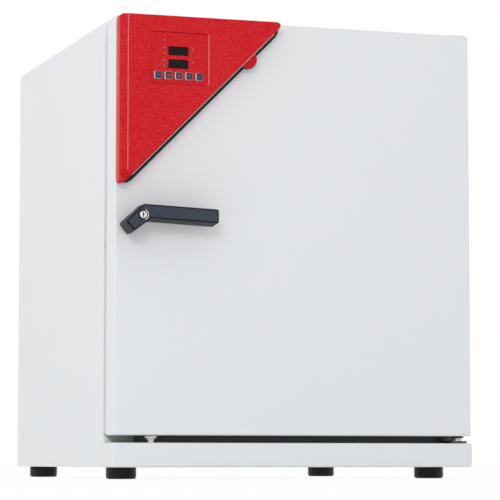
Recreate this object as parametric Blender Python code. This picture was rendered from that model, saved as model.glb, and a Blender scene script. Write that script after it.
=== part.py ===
"""Carbon dioxide incubator, a bench cabinet with a hinged outer door, an inner glass door and a
moulded control cover. Front is -Y, the door hinges on the right, and all sizes are in metres."""

import math

import bmesh
import bpy
from mathutils import Matrix, Vector

MM = 0.001

# Running clearances
GAP = 0.3 * MM
FIT = 0.3 * MM

# Cabinet
WIDTH = 680 * MM
BODY_HEIGHT = 794 * MM
BODY_DEPTH = 644 * MM
SHEET = 1.5 * MM
BEND = 6 * MM
RETURN_WIDTH = 25 * MM
FLANGE = 20 * MM

# Feet
FOOT_HEIGHT = 21 * MM
FOOT_RADIUS = 27 * MM
FOOT_ROUND = 4 * MM
FOOT_INSET_X = 44 * MM
FOOT_INSET_Y = 30 * MM
FOOT_INSET_REAR = 40 * MM
FOOT_TAPER = 1 * MM

# Lower front panel and the slot above it
FASCIA_HEIGHT = 43 * MM
LOWER_SLOT = 13 * MM

# Working chamber, set by what stands between it and the cabinet's outside
SIDE_WALL = 90 * MM
END_WALL = 69 * MM
SERVICE_SPACE = 71.7 * MM
CHAMBER_CORNER = 22 * MM
CHAMBER_RIM = 34 * MM
FRAME_DEPTH = 12 * MM
JACKET_GAP = 12 * MM
INSULATION_BACK = 45 * MM
INSULATION_FLOOR = 55 * MM
RIB_REACH = 9 * MM
RIB_HEIGHT = 14 * MM
RIB_SLOPE = 3 * MM
RIB_LEDGE = 0.5 * MM
RIB_START = 46 * MM
RIB_END = 30 * MM
RIB_PITCH = 80 * MM
RIB_FIRST = 110 * MM
RIB_LEVELS = 6
HEATER_MARGIN = 60 * MM
HEATER_CORNER = 10 * MM
HEATER_THICKNESS = 3 * MM
FRAME_CORNER = 8 * MM
FRAME_STEP = 2 * MM
SEAL_WAIST = 0.12
SEAL_CORNER = 8 * MM
INNER_SEAL_SET_OUT = 4 * MM
INNER_SEAL_PLAY = 2 * MM

# Shelves and pan
SHELF_SIDE_PLAY = 5 * MM
SHELF_FRONT_PLAY = 33 * MM
SHELF_REAR_PLAY = 12 * MM
SHELF_LIP = 12 * MM
SHELF_LIP_PLAY = 3 * MM
SHELF_RIBS = (0, 2, 4)
SHELF_HOLE = 14 * MM
SHELF_HOLES_X = 5
SHELF_HOLES_Y = 4
PAN_SIDE_PLAY = 35 * MM
PAN_FRONT_PLAY = 64 * MM
PAN_REAR_PLAY = 36 * MM
PAN_HEIGHT = 55 * MM
PAN_SHEET = 1.2 * MM
PAN_RIM = 6 * MM
PAN_CORNER = 24 * MM
PAN_BEND = 7 * MM

# Inner glass door
GLASS_THICKNESS = 5 * MM
GLASS_PLAY = 4 * MM
GLASS_SET_IN = 2 * MM
SEAT_WIDTH = 20 * MM
GLASS_EDGE = 0.8 * MM
GLASS_CORNER = 6 * MM
GLASS_PIN = 2 * MM
GLASS_KNUCKLE = 4.2 * MM
GLASS_HINGE_LENGTH = 30 * MM
GLASS_HINGE_INSET = 70 * MM
GLASS_AXIS_FORWARD = 6 * MM
GLASS_AXIS_SET_IN = 3 * MM
GLASS_LEAF = 30 * MM
GLASS_LEAF_PLATE = 2.5 * MM
GLASS_POST = 4.5 * MM
GLASS_POST_LUG = 3 * MM
GLASS_POST_PLATE = 2.2 * MM
GLASS_POST_FOOT = 12 * MM
GLASS_POST_REACH = 10.5 * MM
CATCH_INSET = 12 * MM
CATCH_RADIUS = 9 * MM
CATCH_KNOB = 8 * MM
CATCH_NECK = 6 * MM
CATCH_BORE = 4 * MM
CATCH_STAND = 15 * MM
TONGUE_REACH = 22 * MM
TONGUE_PLATE = 2.4 * MM
TONGUE_HEIGHT = 10 * MM
STRIKE_WIDTH = 8 * MM
STRIKE_HEIGHT = 16.4 * MM
STRIKE_PROUD = 5.5 * MM

# Outer door
DOOR_GAP = 17 * MM
DOOR_DEPTH = 54 * MM
DOOR_SIDE_SET_IN = 2 * MM
DOOR_BEND = 4 * MM
DOOR_RETURN = 14 * MM
DISH_DEPTH = 11 * MM
DISH_MARGIN = 5 * MM
DISH_CORNER = 12.5 * MM
SEAL_WIDTH = 16 * MM
SEAL_INSET_X = 40 * MM
SEAL_INSET_Z = 24 * MM

# Outer hinge
AXIS_INSET = 16 * MM
HINGE_PIN = 5 * MM
HINGE_BUSH = 8 * MM
HINGE_ARM = 16 * MM
LOWER_PLATE = 4 * MM
UPPER_PLATE = 3 * MM
HINGE_PIN_LENGTH = 24 * MM
HINGE_CORNER = 8 * MM
HINGE_BEND = 1 * MM
HINGE_POINT = 1.5 * MM
HINGE_UPRIGHT = 48 * MM
HINGE_STRAP = 45 * MM
BUSH_FLANGE = 3 * MM
SOCKET_PLAY = 2 * MM

# Control cover
COVER_LEG = 309 * MM
COVER_CORNER = 11 * MM
COVER_TIP = 8 * MM
COVER_PROUD = 28 * MM
COVER_WALL = 2.5 * MM
COVER_ROUND = 4 * MM
COVER_BAND = 21 * MM
COVER_BAND_DROP = 2 * MM
COVER_STEP = 0.5 * MM
BASE_DEPTH = 6 * MM
BASE_SHOW = 8.5 * MM
BASE_SET_IN = 1 * MM
BASE_TIP = 16 * MM
BEZEL_LEFT = 57 * MM
BEZEL_TOP = 30 * MM
BEZEL_WIDTH = 106 * MM
BEZEL_HEIGHT = 92 * MM
BEZEL_CORNER = 5 * MM
BEZEL_SUNK = 2 * MM
BEZEL_THICKNESS = 2.5 * MM
WINDOW_WIDTH = 37 * MM
WINDOW_HEIGHT = 16 * MM
WINDOW_X = 108.2 * MM
WINDOW_TOPS = (54.7 * MM, 77.9 * MM)
KEY_SIZE = 13.3 * MM
KEY_PITCH = 19 * MM
KEY_TRAVEL = 1.2 * MM
KEY_PROUD = 2.4 * MM
KEY_DROP = 107.1 * MM
KEY_MIDDLE = 108.1 * MM
KEY_COUNT = 5
KEY_STOP = 1 * MM
KEY_EDGE = 1.2 * MM
LAMP_RADIUS = 1.5 * MM
LAMP_PROUD = 0.2 * MM
LAMP_BAR = 3 * MM
LAMP_MARGIN = 4 * MM
LEFT_LAMPS_X = 82.2 * MM
LEFT_LAMPS = (44.5 * MM, 58 * MM, 67.6 * MM, 81.3 * MM, 91.1 * MM)
RIGHT_LAMPS_X = 134.3 * MM
RIGHT_LAMPS = (58.5 * MM, 81.9 * MM)
BOARD_THICKNESS = 1.6 * MM
BOARD_MARGIN = 3 * MM
DISPLAY_DEPTH = 5.2 * MM
DISPLAY_SUNK = 0.4 * MM
SWITCH_RADIUS = 17.5 * MM
SWITCH_THICKNESS = 9 * MM
SWITCH_INSET = 69 * MM
SWITCH_SET_BACK = 7 * MM
SWITCH_SPINDLE = 5 * MM
SWITCH_EDGE = 1.5 * MM
SLOT_PLAY = 2 * MM

# Door lever, measured from the door's upper left corner
LEVER_STAND = 20 * MM
LEVER_DEPTH = 34 * MM
LEVER_CHAMFER = 2.5 * MM
LEVER_DRAFT = 1.2 * MM
LEVER_CORNER = 3 * MM
LEVER_END = 4 * MM
LEVER_EDGE = 1 * MM
PIVOT_X = 26 * MM
PIVOT_DROP = 370 * MM
LEVER_REACH = 149 * MM
LEVER_WIDTH = 22.3 * MM
LEVER_DROP = 5.6 * MM
LEVER_RISE = 31.6 * MM
LEVER_SHOULDER = 12 * MM
LEVER_ELBOW = 26.4 * MM
LEG_SIDE = 20.7 * MM
LEG_FOOT = 4.6 * MM
LEG_DROP = 13.9 * MM
LEVER_SWELL = 6 * MM
LEG_BLOCK = 26 * MM
LEG_BLOCK_SET_IN = 1 * MM
SHAFT_HOLD = 12 * MM
SHAFT_RADIUS = 6 * MM
ROSE_RADIUS = 12.5 * MM
ROSE_DEPTH = 4 * MM
ROSE_EDGE = 1 * MM
LOCK_X = 36.6 * MM
LOCK_DROP = 357.6 * MM
LOCK_RADIUS = 6.8 * MM
LOCK_LENGTH = 22 * MM
LOCK_PROUD = 1.5 * MM
LOCK_EDGE = 1 * MM
KEYWAY_WIDTH = 1.8 * MM
KEYWAY_DEPTH = 8 * MM
HOOK_THICKNESS = 4 * MM
HOOK_REACH = 23 * MM
HOOK_HEIGHT = 10 * MM
HOOK_BACK = 7 * MM
HOOK_PLAY = 0.8 * MM
HOOK_EYE = 4 * MM
HOOK_EDGE = 1 * MM
KEEPER_RADIUS = 4 * MM
KEEPER_HEAD = 6 * MM
KEEPER_HEAD_DEPTH = 3 * MM
KEEPER_PLATE = 3 * MM
KEEPER_WIDTH = 18 * MM
KEEPER_HEIGHT = 31 * MM
KEEPER_ABOVE = 9 * MM

# Fittings at the back
VENT_COUNT = 9
VENT_PITCH = 22 * MM
VENT_WIDTH = 6 * MM
VENT_HEIGHT = 60 * MM
VENT_LEVELS = (0.24, 0.80)
NOZZLE_INSET = 140 * MM
NOZZLE_Z = 150 * MM
NOZZLE_LENGTH = 25 * MM
NOZZLE_RADIUS = 5 * MM
NOZZLE_COLLAR = 1 * MM
NOZZLE_FLANGE = 4 * MM
BARB_PITCH = 5 * MM
BARB_COUNT = 3
INLET_INSET = 100 * MM
INLET_Z = 120 * MM
INLET_WIDTH = 40 * MM
INLET_HEIGHT = 28 * MM
INLET_DEPTH = 24 * MM
INLET_LIP = 5 * MM
INLET_PLATE = 3 * MM
INLET_WALL = 4 * MM
INLET_HOLLOW = 17 * MM
PRONG_SPREAD = 7 * MM
PRONG_WIDTH = 2 * MM
PRONG_HEIGHT = 5 * MM
PRONG_FRONT = 4 * MM
SUPPLY_SIZE = (160 * MM, 48 * MM, 110 * MM)
SENSOR_X = 100 * MM
SENSOR_RADIUS = 11 * MM
SENSOR_REACH = 60 * MM
SENSOR_GROOVE = 22 * MM
SENSOR_EDGE = 3 * MM
PROBE_X = -60 * MM
PROBE_RADIUS = 3 * MM
PROBE_REACH = 80 * MM
PROBES_DROP = 52 * MM
PROBE_END = 6 * MM

# Door rest in the lower slot
REST_INSET = 75 * MM
REST_FLANGE = 10.5 * MM
REST_STEM = 5 * MM
REST_PLAY = 1 * MM
REST_HEAD = 3 * MM
REST_ROUND = 0.9 * MM

# Places worked out from the sizes above. y = 0 is the cabinet's front edge until the last lines.
BODY_BOTTOM = FOOT_HEIGHT
BODY_TOP = FOOT_HEIGHT + BODY_HEIGHT
SIDE = WIDTH / 2
FASCIA_TOP = BODY_BOTTOM + FASCIA_HEIGHT
DOOR_BOTTOM = FASCIA_TOP + LOWER_SLOT
DOOR_TOP = BODY_TOP
DOOR_MIDDLE = (DOOR_BOTTOM + DOOR_TOP) / 2
DOOR_SIDE = SIDE - DOOR_SIDE_SET_IN
DOOR_BACK = -DOOR_GAP
DOOR_FRONT = -DOOR_GAP - DOOR_DEPTH
REAR_FACE = BODY_DEPTH
CHAMBER_SIDE = SIDE - SIDE_WALL
CHAMBER_BOTTOM = DOOR_BOTTOM + END_WALL
CHAMBER_TOP = DOOR_TOP - END_WALL
CHAMBER_FRONT = FRAME_DEPTH + GAP
INSULATION_END = REAR_FACE - SERVICE_SPACE
JACKET_BACK = INSULATION_END - INSULATION_BACK
CHAMBER_BACK = JACKET_BACK - SHEET - JACKET_GAP - SHEET
SEAT_SIDE = CHAMBER_SIDE + SEAT_WIDTH
SEAT_BOTTOM = CHAMBER_BOTTOM - SEAT_WIDTH
SEAT_TOP = CHAMBER_TOP + SEAT_WIDTH
AXIS_X = DOOR_SIDE - AXIS_INSET
AXIS_Y = DOOR_BACK - DOOR_DEPTH / 2
GLASS_FRONT = GLASS_SET_IN
GLASS_BACK = GLASS_FRONT + GLASS_THICKNESS
GLASS_SIDE = SEAT_SIDE - GLASS_PLAY
GLASS_BOTTOM = SEAT_BOTTOM + GLASS_PLAY
GLASS_TOP = SEAT_TOP - GLASS_PLAY
GLASS_AXIS_X = SEAT_SIDE - GLASS_AXIS_SET_IN
GLASS_AXIS_Y = -GLASS_AXIS_FORWARD
CATCH_PLACE = (-GLASS_SIDE + CATCH_INSET, 0, DOOR_MIDDLE)
PROBES_Z = CHAMBER_TOP - PROBES_DROP
COVER_BACK = DOOR_FRONT - GAP - BASE_DEPTH - GAP
COVER_FRONT = DOOR_FRONT - COVER_PROUD
BEZEL_FRONT = COVER_FRONT + BEZEL_SUNK
LEVER_BACK = DOOR_FRONT - LEVER_STAND
LEVER_FRONT = LEVER_BACK - LEVER_DEPTH
FRONT_END = LEVER_FRONT - LOCK_PROUD
REAR_END = REAR_FACE + NOZZLE_LENGTH
NOZZLE_X = -SIDE + NOZZLE_INSET
INLET_X = SIDE - INLET_INSET
REST_X = -DOOR_SIDE + REST_INSET
PIVOT = (-DOOR_SIDE + PIVOT_X, 0, DOOR_TOP - PIVOT_DROP)
SWITCH_PLACE = (-DOOR_SIDE + COVER_LEG - SWITCH_INSET, 0, DOOR_TOP - SWITCH_INSET)
LOCK_PLACE = (-DOOR_SIDE + LOCK_X, 0, DOOR_TOP - LOCK_DROP)
HOOK_LOW = DOOR_TOP - PIVOT_DROP - HOOK_HEIGHT / 2

WHITE = (0.80, 0.81, 0.82)
STEEL = (0.62, 0.63, 0.64)
RED = (0.62, 0.012, 0.022)


def clear_scene():
    for obj in list(bpy.data.objects):
        bpy.data.objects.remove(obj, do_unlink=True)


def material(name, colour, roughness, metallic=0.0):
    made = bpy.data.materials.new(name)
    made.use_nodes = True
    shader = made.node_tree.nodes["Principled BSDF"]
    shader.inputs["Base Color"].default_value = (*colour, 1.0)
    shader.inputs["Roughness"].default_value = roughness
    shader.inputs["Metallic"].default_value = metallic
    return made


def empty(name, place, parent=None):
    """An unseen pivot that carries the pieces of one moving body."""
    pivot = bpy.data.objects.new(name, None)
    bpy.context.scene.collection.objects.link(pivot)
    pivot.parent = parent
    pivot.location = place
    return pivot


class Carrier:
    """One rigid body: an empty, and where it stands in the cabinet's own coordinates."""

    def __init__(self, name, place=(0, 0, 0), parent=None):
        self.place = Vector(place)
        start = parent.place if parent else Vector((0, 0, 0))
        self.pivot = empty(name, self.place - start, parent.pivot if parent else None)


def solid(name, bm, carrier, look, angle=35):
    """Finishes a mesh given in cabinet coordinates and hands it to its carrier."""
    bmesh.ops.remove_doubles(bm, verts=bm.verts, dist=0.00001)
    bmesh.ops.recalc_face_normals(bm, faces=bm.faces)
    if bm.calc_volume(signed=True) < 0:
        bmesh.ops.reverse_faces(bm, faces=bm.faces)
    mesh = bpy.data.meshes.new(name)
    bmesh.ops.translate(bm, verts=bm.verts, vec=-carrier.place)
    bm.to_mesh(mesh)
    bm.free()
    obj = bpy.data.objects.new(name, mesh)
    bpy.context.scene.collection.objects.link(obj)
    obj.parent = carrier.pivot
    mesh.materials.append(look)
    mesh.shade_smooth()
    mesh.set_sharp_from_angle(angle=math.radians(angle))
    return obj


def combine(obj, tool, operation="DIFFERENCE"):
    """Cuts a hidden tool out of the piece, or joins it on."""
    tool.hide_render = True
    tool.display_type = "WIRE"
    step = obj.modifiers.new(operation.title(), "BOOLEAN")
    step.operation = operation
    step.object = tool
    step.solver = "EXACT"


def skin(rows, rows_closed=False, columns_closed=True):
    """Faces between rows of points. Open rows are capped at the ends, and so are open columns."""
    bm = bmesh.new()
    grid = [[bm.verts.new(point) for point in row] for row in rows]
    count = len(grid)
    width = len(grid[0])
    for i in range(count if rows_closed else count - 1):
        below = grid[i]
        above = grid[(i + 1) % count]
        for j in range(width if columns_closed else width - 1):
            k = (j + 1) % width
            bm.faces.new((below[j], below[k], above[k], above[j]))
    if not rows_closed:
        bm.faces.new(reversed(grid[0]))
        bm.faces.new(grid[-1])
    if not columns_closed:
        bm.faces.new([row[0] for row in grid])
        bm.faces.new([row[-1] for row in reversed(grid)])
    return bm


def rounded(points, radii, steps=3):
    """A closed outline in two dimensions with each corner turned to an arc."""
    outline = []
    for i, corner in enumerate(points):
        corner = Vector(corner)
        into = (Vector(points[i - 1]) - corner).normalized()
        out = (Vector(points[(i + 1) % len(points)]) - corner).normalized()
        radius = radii[i] if isinstance(radii, (list, tuple)) else radii
        half = into.angle(out) / 2
        reach = radius / math.tan(half)
        start = corner + into * reach
        end = corner + out * reach
        centre = corner + (into + out).normalized() * (radius / math.sin(half))
        for s in range(steps + 1):
            outward = (start - centre).slerp(end - centre, s / steps)
            outline.append(centre + outward * radius)
    return outline


def rect(x, low, high, radius, y, steps=3):
    """A rounded rectangle, symmetrical about x = 0, in an upright plane at depth y."""
    corners = ((-x, low), (x, low), (x, high), (-x, high))
    return [(p.x, y, p.y) for p in rounded(corners, max(radius, 0.2 * MM), steps)]


def plan(x0, x1, y0, y1, radius, z, steps=3):
    """A rounded rectangle in a level plane at height z."""
    corners = ((x0, y0), (x1, y0), (x1, y1), (x0, y1))
    return [(p.x, p.y, z) for p in rounded(corners, max(radius, 0.2 * MM), steps)]


def block(x0, x1, y0, y1, z0, z1):
    corners = ((x0, y0), (x1, y0), (x1, y1), (x0, y1))
    return skin([[(x, y, z) for x, y in corners] for z in (z0, z1)])


def prism(outline, y0, y1):
    """An outline in the upright XZ plane, drawn out along Y."""
    return skin([[(x, y, z) for x, z in outline] for y in (y0, y1)])


def turned(profile, place, axis="Z", sides=20):
    """Turns (radius, height) points about an axis through a place. A profile that starts and ends
    on the axis gives a full body, any other is closed on itself as a ring."""
    full = profile[0][0] == 0 and profile[-1][0] == 0
    rings = profile[1:-1] if full else profile
    rows = []
    for radius, height in rings:
        row = []
        for s in range(sides):
            turn = 2 * math.pi * s / sides
            row.append((radius * math.cos(turn), radius * math.sin(turn), height))
        rows.append(row)
    bm = skin(rows, rows_closed=not full)
    if axis == "Y":
        bmesh.ops.rotate(bm, verts=bm.verts, matrix=Matrix.Rotation(math.radians(-90), 3, "X"))
    bmesh.ops.translate(bm, verts=bm.verts, vec=place)
    return bm


def rod(radius, place, start, end, axis="Z", sides=20):
    """A plain cylinder, its ends measured along the axis from the place."""
    return turned([(0, start), (radius, start), (radius, end), (0, end)], place, axis, sides)


def bent(obj, width, steps=2, angle=40):
    """Rounds the piece's sharp edges."""
    edge = obj.modifiers.new("Bend", "BEVEL")
    edge.width = width
    edge.segments = steps
    edge.limit_method = "ANGLE"
    edge.angle_limit = math.radians(angle)
    return obj


def cutter(name, bm, carrier):
    return solid(name, bm, carrier, guide_look)


def quarter(radius, steps):
    """(inset, advance) pairs along a quarter bend, from the face to the side."""
    pairs = []
    for s in range(steps + 1):
        turn = math.pi / 2 * s / steps
        pairs.append((radius * (1 - math.sin(turn)), radius * (1 - math.cos(turn))))
    return pairs


# Cabinet pieces

def wrap_outline(inset, y):
    """The cabinet's left side, top and right side as one open line, moved inwards by an inset."""
    x = SIDE - inset
    top = BODY_TOP - inset
    radius = max(BEND - inset, 0.4 * MM)
    line = [(-x, BODY_BOTTOM)]
    for turn in (180, 150, 120, 90):
        angle = math.radians(turn)
        across = -x + radius + radius * math.cos(angle)
        line.append((across, top - radius + radius * math.sin(angle)))
    for turn in (90, 60, 30, 0):
        angle = math.radians(turn)
        across = x - radius + radius * math.cos(angle)
        line.append((across, top - radius + radius * math.sin(angle)))
    line.append((x, BODY_BOTTOM))
    return [(px, y, pz) for px, pz in line]


def make_outer_housing(cabinet, look):
    outer = [(RETURN_WIDTH, 0)] + quarter(BEND, 3)
    inner_bend = BEND - SHEET
    inner = [(SHEET + inset, SHEET + advance) for inset, advance in reversed(quarter(inner_bend, 3))]
    section = outer + [(0, REAR_FACE), (SHEET, REAR_FACE)] + inner + [(RETURN_WIDTH, SHEET)]
    rows = [wrap_outline(inset, y) for inset, y in section]
    return solid("outer_housing", skin(rows, True, False), cabinet, look)


def make_base_pan(cabinet, look):
    x = SIDE - SHEET - GAP
    front = SHEET + GAP
    back = REAR_FACE - SHEET - GAP
    low = BODY_BOTTOM
    rows = []
    for inset, z in ((0, low), (0, low + FLANGE), (SHEET, low + FLANGE), (SHEET, low + SHEET)):
        rows.append(plan(-x + inset, x - inset, front + inset, back - inset, BEND - inset, z))
    return solid("base_pan", skin(rows), cabinet, look)


def make_rear_cover(cabinet, look):
    x = SIDE - SHEET - GAP
    low = BODY_BOTTOM + SHEET + GAP
    high = BODY_TOP - SHEET - GAP
    lip = FLANGE / 2
    rows = [
        rect(x, low, high, BEND, REAR_FACE),
        rect(x, low, high, BEND, REAR_FACE - SHEET),
    ]
    cover = solid("rear_cover", skin(rows), cabinet, look)
    vents = bmesh.new()
    for level in VENT_LEVELS:
        z = low + (high - low) * level
        for i in range(VENT_COUNT):
            centre = (i - (VENT_COUNT - 1) / 2) * VENT_PITCH
            merge(vents, block(
                centre - VENT_WIDTH / 2, centre + VENT_WIDTH / 2, REAR_FACE - lip, REAR_FACE + lip,
                z - VENT_HEIGHT / 2, z + VENT_HEIGHT / 2,
            ))
    nozzle = (NOZZLE_X, REAR_FACE, NOZZLE_Z)
    merge(vents, rod(NOZZLE_RADIUS + NOZZLE_COLLAR + FIT, nozzle, -lip, lip, "Y", 12))
    merge(vents, block(
        INLET_X - INLET_WIDTH / 2, INLET_X + INLET_WIDTH / 2,
        REAR_FACE - lip, REAR_FACE + lip, INLET_Z - INLET_HEIGHT / 2, INLET_Z + INLET_HEIGHT / 2,
    ))
    combine(cover, cutter("rear_cover_cuts", vents, cabinet))
    return cover


def merge(target, other):
    """Adds the faces of one mesh under construction to another."""
    carried = bpy.data.meshes.new("carried")
    other.to_mesh(carried)
    other.free()
    target.from_mesh(carried)
    bpy.data.meshes.remove(carried)


def make_front_frame(cabinet, look):
    behind = SHEET + GAP
    x = SIDE - SHEET - GAP
    low = BODY_BOTTOM + FLANGE + 2 * GAP
    high = BODY_TOP - SHEET - GAP
    step_x = SIDE - RETURN_WIDTH - GAP
    step_low = low + FRAME_STEP
    step_high = BODY_TOP - RETURN_WIDTH - GAP
    edge = BEND - SHEET
    rows = [
        rect(x - edge, low, high - edge, BEND, behind),
        rect(step_x, step_low, step_high, 0, behind),
        rect(step_x, step_low, step_high, 0, 0),
        rect(SEAT_SIDE, SEAT_BOTTOM, SEAT_TOP, FRAME_CORNER, 0),
        rect(SEAT_SIDE, SEAT_BOTTOM, SEAT_TOP, FRAME_CORNER, FRAME_DEPTH),
        rect(x, low, high, BEND, FRAME_DEPTH),
        rect(x, low, high, BEND, behind + edge),
    ]
    return solid("front_frame", skin(rows, rows_closed=True), cabinet, look)


def chamber_rows(grow, front, back, corner, wide_rim=0.0):
    """The outside of a drawn box, from the middle of its back to its front edge."""
    rows = []
    x = CHAMBER_SIDE + grow
    low = CHAMBER_BOTTOM - grow
    high = CHAMBER_TOP + grow
    for inset, advance in quarter(corner, 3):
        rows.append(rect(x - inset, low + inset, high - inset, corner - inset, back - advance))
    if wide_rim:
        rows.append(rect(x, low, high, corner, front + SHEET))
        rows.append(rect(x + wide_rim, low - wide_rim, high + wide_rim, corner, front + SHEET))
        rows.append(rect(x + wide_rim, low - wide_rim, high + wide_rim, corner, front))
    else:
        rows.append(rect(x, low, high, corner, front))
    return rows


def drawn_box(grow, front, back, wide_rim=0.0):
    """A deep-drawn sheet box, open at the front. The growth is that of its inner face."""
    outside = chamber_rows(grow + SHEET, front, back + SHEET, CHAMBER_CORNER + grow + SHEET, wide_rim)
    inside = chamber_rows(grow, front, back, CHAMBER_CORNER + grow)
    return skin(outside + list(reversed(inside)))


def rib_height(level):
    """Height of the top of a shelf rib."""
    return CHAMBER_BOTTOM + RIB_FIRST + level * RIB_PITCH


def bead(side, level, shrink):
    """A long bead in a side wall, pressed towards the middle of the chamber."""
    top = rib_height(level) - shrink
    low = rib_height(level) - RIB_HEIGHT + shrink
    start = CHAMBER_FRONT + RIB_START + shrink
    end = CHAMBER_BACK - RIB_END - shrink
    wall = side * (CHAMBER_SIDE + SHEET - GAP if not shrink else CHAMBER_SIDE + 3 * SHEET)
    tip = side * (CHAMBER_SIDE - RIB_REACH + shrink)
    foot = [(wall, start, low), (wall, end, low), (wall, end, top), (wall, start, top)]
    face = [
        (tip, start + 2 * RIB_SLOPE, low + RIB_SLOPE),
        (tip, end - 2 * RIB_SLOPE, low + RIB_SLOPE),
        (tip, end - 2 * RIB_SLOPE, top - RIB_LEDGE),
        (tip, start + 2 * RIB_SLOPE, top - RIB_LEDGE),
    ]
    return skin([foot, face])


def make_inner_chamber(cabinet, look):
    drawn = drawn_box(0, CHAMBER_FRONT, CHAMBER_BACK, CHAMBER_RIM)
    chamber = solid("inner_chamber", drawn, cabinet, look)
    raised = bmesh.new()
    pressed = bmesh.new()
    for level in range(RIB_LEVELS):
        for side in (-1, 1):
            merge(raised, bead(side, level, 0))
            merge(pressed, bead(side, level, SHEET))
    combine(chamber, cutter("chamber_beads", raised, cabinet), "UNION")
    for x, radius in ((SENSOR_X, SENSOR_RADIUS), (PROBE_X, PROBE_RADIUS)):
        hole = rod(radius + FIT, (x, CHAMBER_BACK, PROBES_Z), -FLANGE, FLANGE, "Y", 20)
        merge(pressed, hole)
    combine(chamber, cutter("chamber_hollows", pressed, cabinet))
    return chamber


def make_air_jacket(cabinet, look):
    front = CHAMBER_FRONT + SHEET + GAP
    grow = SHEET + JACKET_GAP
    jacket = solid("air_jacket", drawn_box(grow, front, CHAMBER_BACK + grow), cabinet, look)
    holes = bmesh.new()
    for x, radius in ((SENSOR_X, SENSOR_RADIUS), (PROBE_X, PROBE_RADIUS)):
        merge(holes, rod(radius + FIT, (x, JACKET_BACK, PROBES_Z), -JACKET_GAP, FLANGE, "Y", 20))
    combine(jacket, cutter("jacket_holes", holes, cabinet))
    return jacket


def make_cabinet_insulation(cabinet, look):
    front = CHAMBER_FRONT + SHEET + GAP
    x = SIDE - SHEET - GAP
    low = BODY_BOTTOM + INSULATION_FLOOR
    high = BODY_TOP - SHEET - GAP
    grow = SHEET + JACKET_GAP + SHEET + GAP
    corner = BEND - SHEET
    outside = [rect(x, low, high, corner, INSULATION_END), rect(x, low, high, corner, front)]
    inside = chamber_rows(grow, front, CHAMBER_BACK + grow, CHAMBER_CORNER + grow)
    wool = solid("cabinet_insulation", skin(outside + list(reversed(inside))), cabinet, look)
    holes = bmesh.new()
    for place, radius in ((SENSOR_X, SENSOR_RADIUS), (PROBE_X, PROBE_RADIUS)):
        centre = (place, INSULATION_END, PROBES_Z)
        merge(holes, rod(radius + FIT, centre, -INSULATION_BACK - FLANGE, FLANGE, "Y", 20))
    combine(wool, cutter("insulation_holes", holes, cabinet))
    return wool


def make_jacket_heater(cabinet, look):
    x = CHAMBER_SIDE - HEATER_MARGIN
    front = CHAMBER_FRONT + HEATER_MARGIN
    back = CHAMBER_BACK - HEATER_MARGIN
    low = CHAMBER_BOTTOM - SHEET - JACKET_GAP + GAP
    rows = []
    for z in (low, low + HEATER_THICKNESS):
        rows.append(plan(-x, x, front, back, HEATER_CORNER, z, 2))
    return solid("jacket_heater", skin(rows), cabinet, look)


def ring_seal(name, carrier, look, inner, width, front, back):
    """A closed rubber ring with a rounded, waisted section between two faces."""
    x, low, high = inner
    waist = width * SEAL_WAIST
    middle = (front + back) / 2
    section = ((0, front), (0, front + waist), (waist, middle), (0, back - waist), (waist, back))
    rows = []
    for inset, y in section:
        rows.append(rect(x + inset, low - inset, high + inset, SEAL_CORNER, y))
    for inset, y in reversed(section):
        grow = width - inset
        rows.append(rect(x + grow, low - grow, high + grow, SEAL_CORNER + grow, y))
    return solid(name, skin(rows, rows_closed=True), carrier, look)


def make_chamber_gasket(cabinet, look):
    grow = INNER_SEAL_SET_OUT
    inner = (CHAMBER_SIDE + grow, CHAMBER_BOTTOM - grow, CHAMBER_TOP + grow)
    width = SEAT_WIDTH - grow - GLASS_PLAY - INNER_SEAL_PLAY
    return ring_seal("chamber_gasket", cabinet, look, inner, width, GLASS_BACK + GAP, FRAME_DEPTH)


def make_lower_front_panel(cabinet, look):
    rows = []
    for inset, advance in quarter(DOOR_BEND, 3):
        rows.append(rect(
            SIDE - inset, BODY_BOTTOM + inset, FASCIA_TOP - inset, DOOR_BEND - inset,
            DOOR_FRONT + advance,
        ))
    rows.append(rect(SIDE, BODY_BOTTOM, FASCIA_TOP, DOOR_BEND, -GAP))
    low = BODY_BOTTOM + SHEET
    high = FASCIA_TOP - SHEET
    for y in (-GAP, DOOR_FRONT + SHEET):
        rows.append(rect(SIDE - SHEET, low, high, DOOR_BEND - SHEET, y))
    return solid("lower_front_panel", skin(rows), cabinet, look)


def make_feet(cabinet, look):
    top = FOOT_HEIGHT - GAP
    profile = [(0, 0)]
    for inset, advance in quarter(FOOT_ROUND, 2):
        profile.append((FOOT_RADIUS - inset, advance))
    profile += [(FOOT_RADIUS, top - FOOT_TAPER), (FOOT_RADIUS - FOOT_TAPER, top), (0, top)]
    for across, side in (("left", -1), ("right", 1)):
        for along, y in (("front", FOOT_INSET_Y), ("rear", BODY_DEPTH - FOOT_INSET_REAR)):
            place = (side * (SIDE - FOOT_INSET_X), y, 0)
            solid("foot_" + along + "_" + across, turned(profile, place, "Z", 20), cabinet, look)


def make_door_rest(cabinet, look):
    """A white glide on the lower front panel that the closed door's edge passes over."""
    low = FASCIA_TOP + GAP
    high = DOOR_BOTTOM - REST_PLAY
    head = high - REST_HEAD
    profile = [
        (0, low), (REST_STEM, low), (REST_STEM, (low + head) / 2), (REST_FLANGE - REST_ROUND, head),
        (REST_FLANGE, head + REST_ROUND), (REST_FLANGE, high - REST_ROUND), (REST_FLANGE - REST_ROUND, high),
        (0, high),
    ]
    solid("door_rest", turned(profile, (REST_X, AXIS_Y, 0), "Z", 20), cabinet, look)


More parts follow.
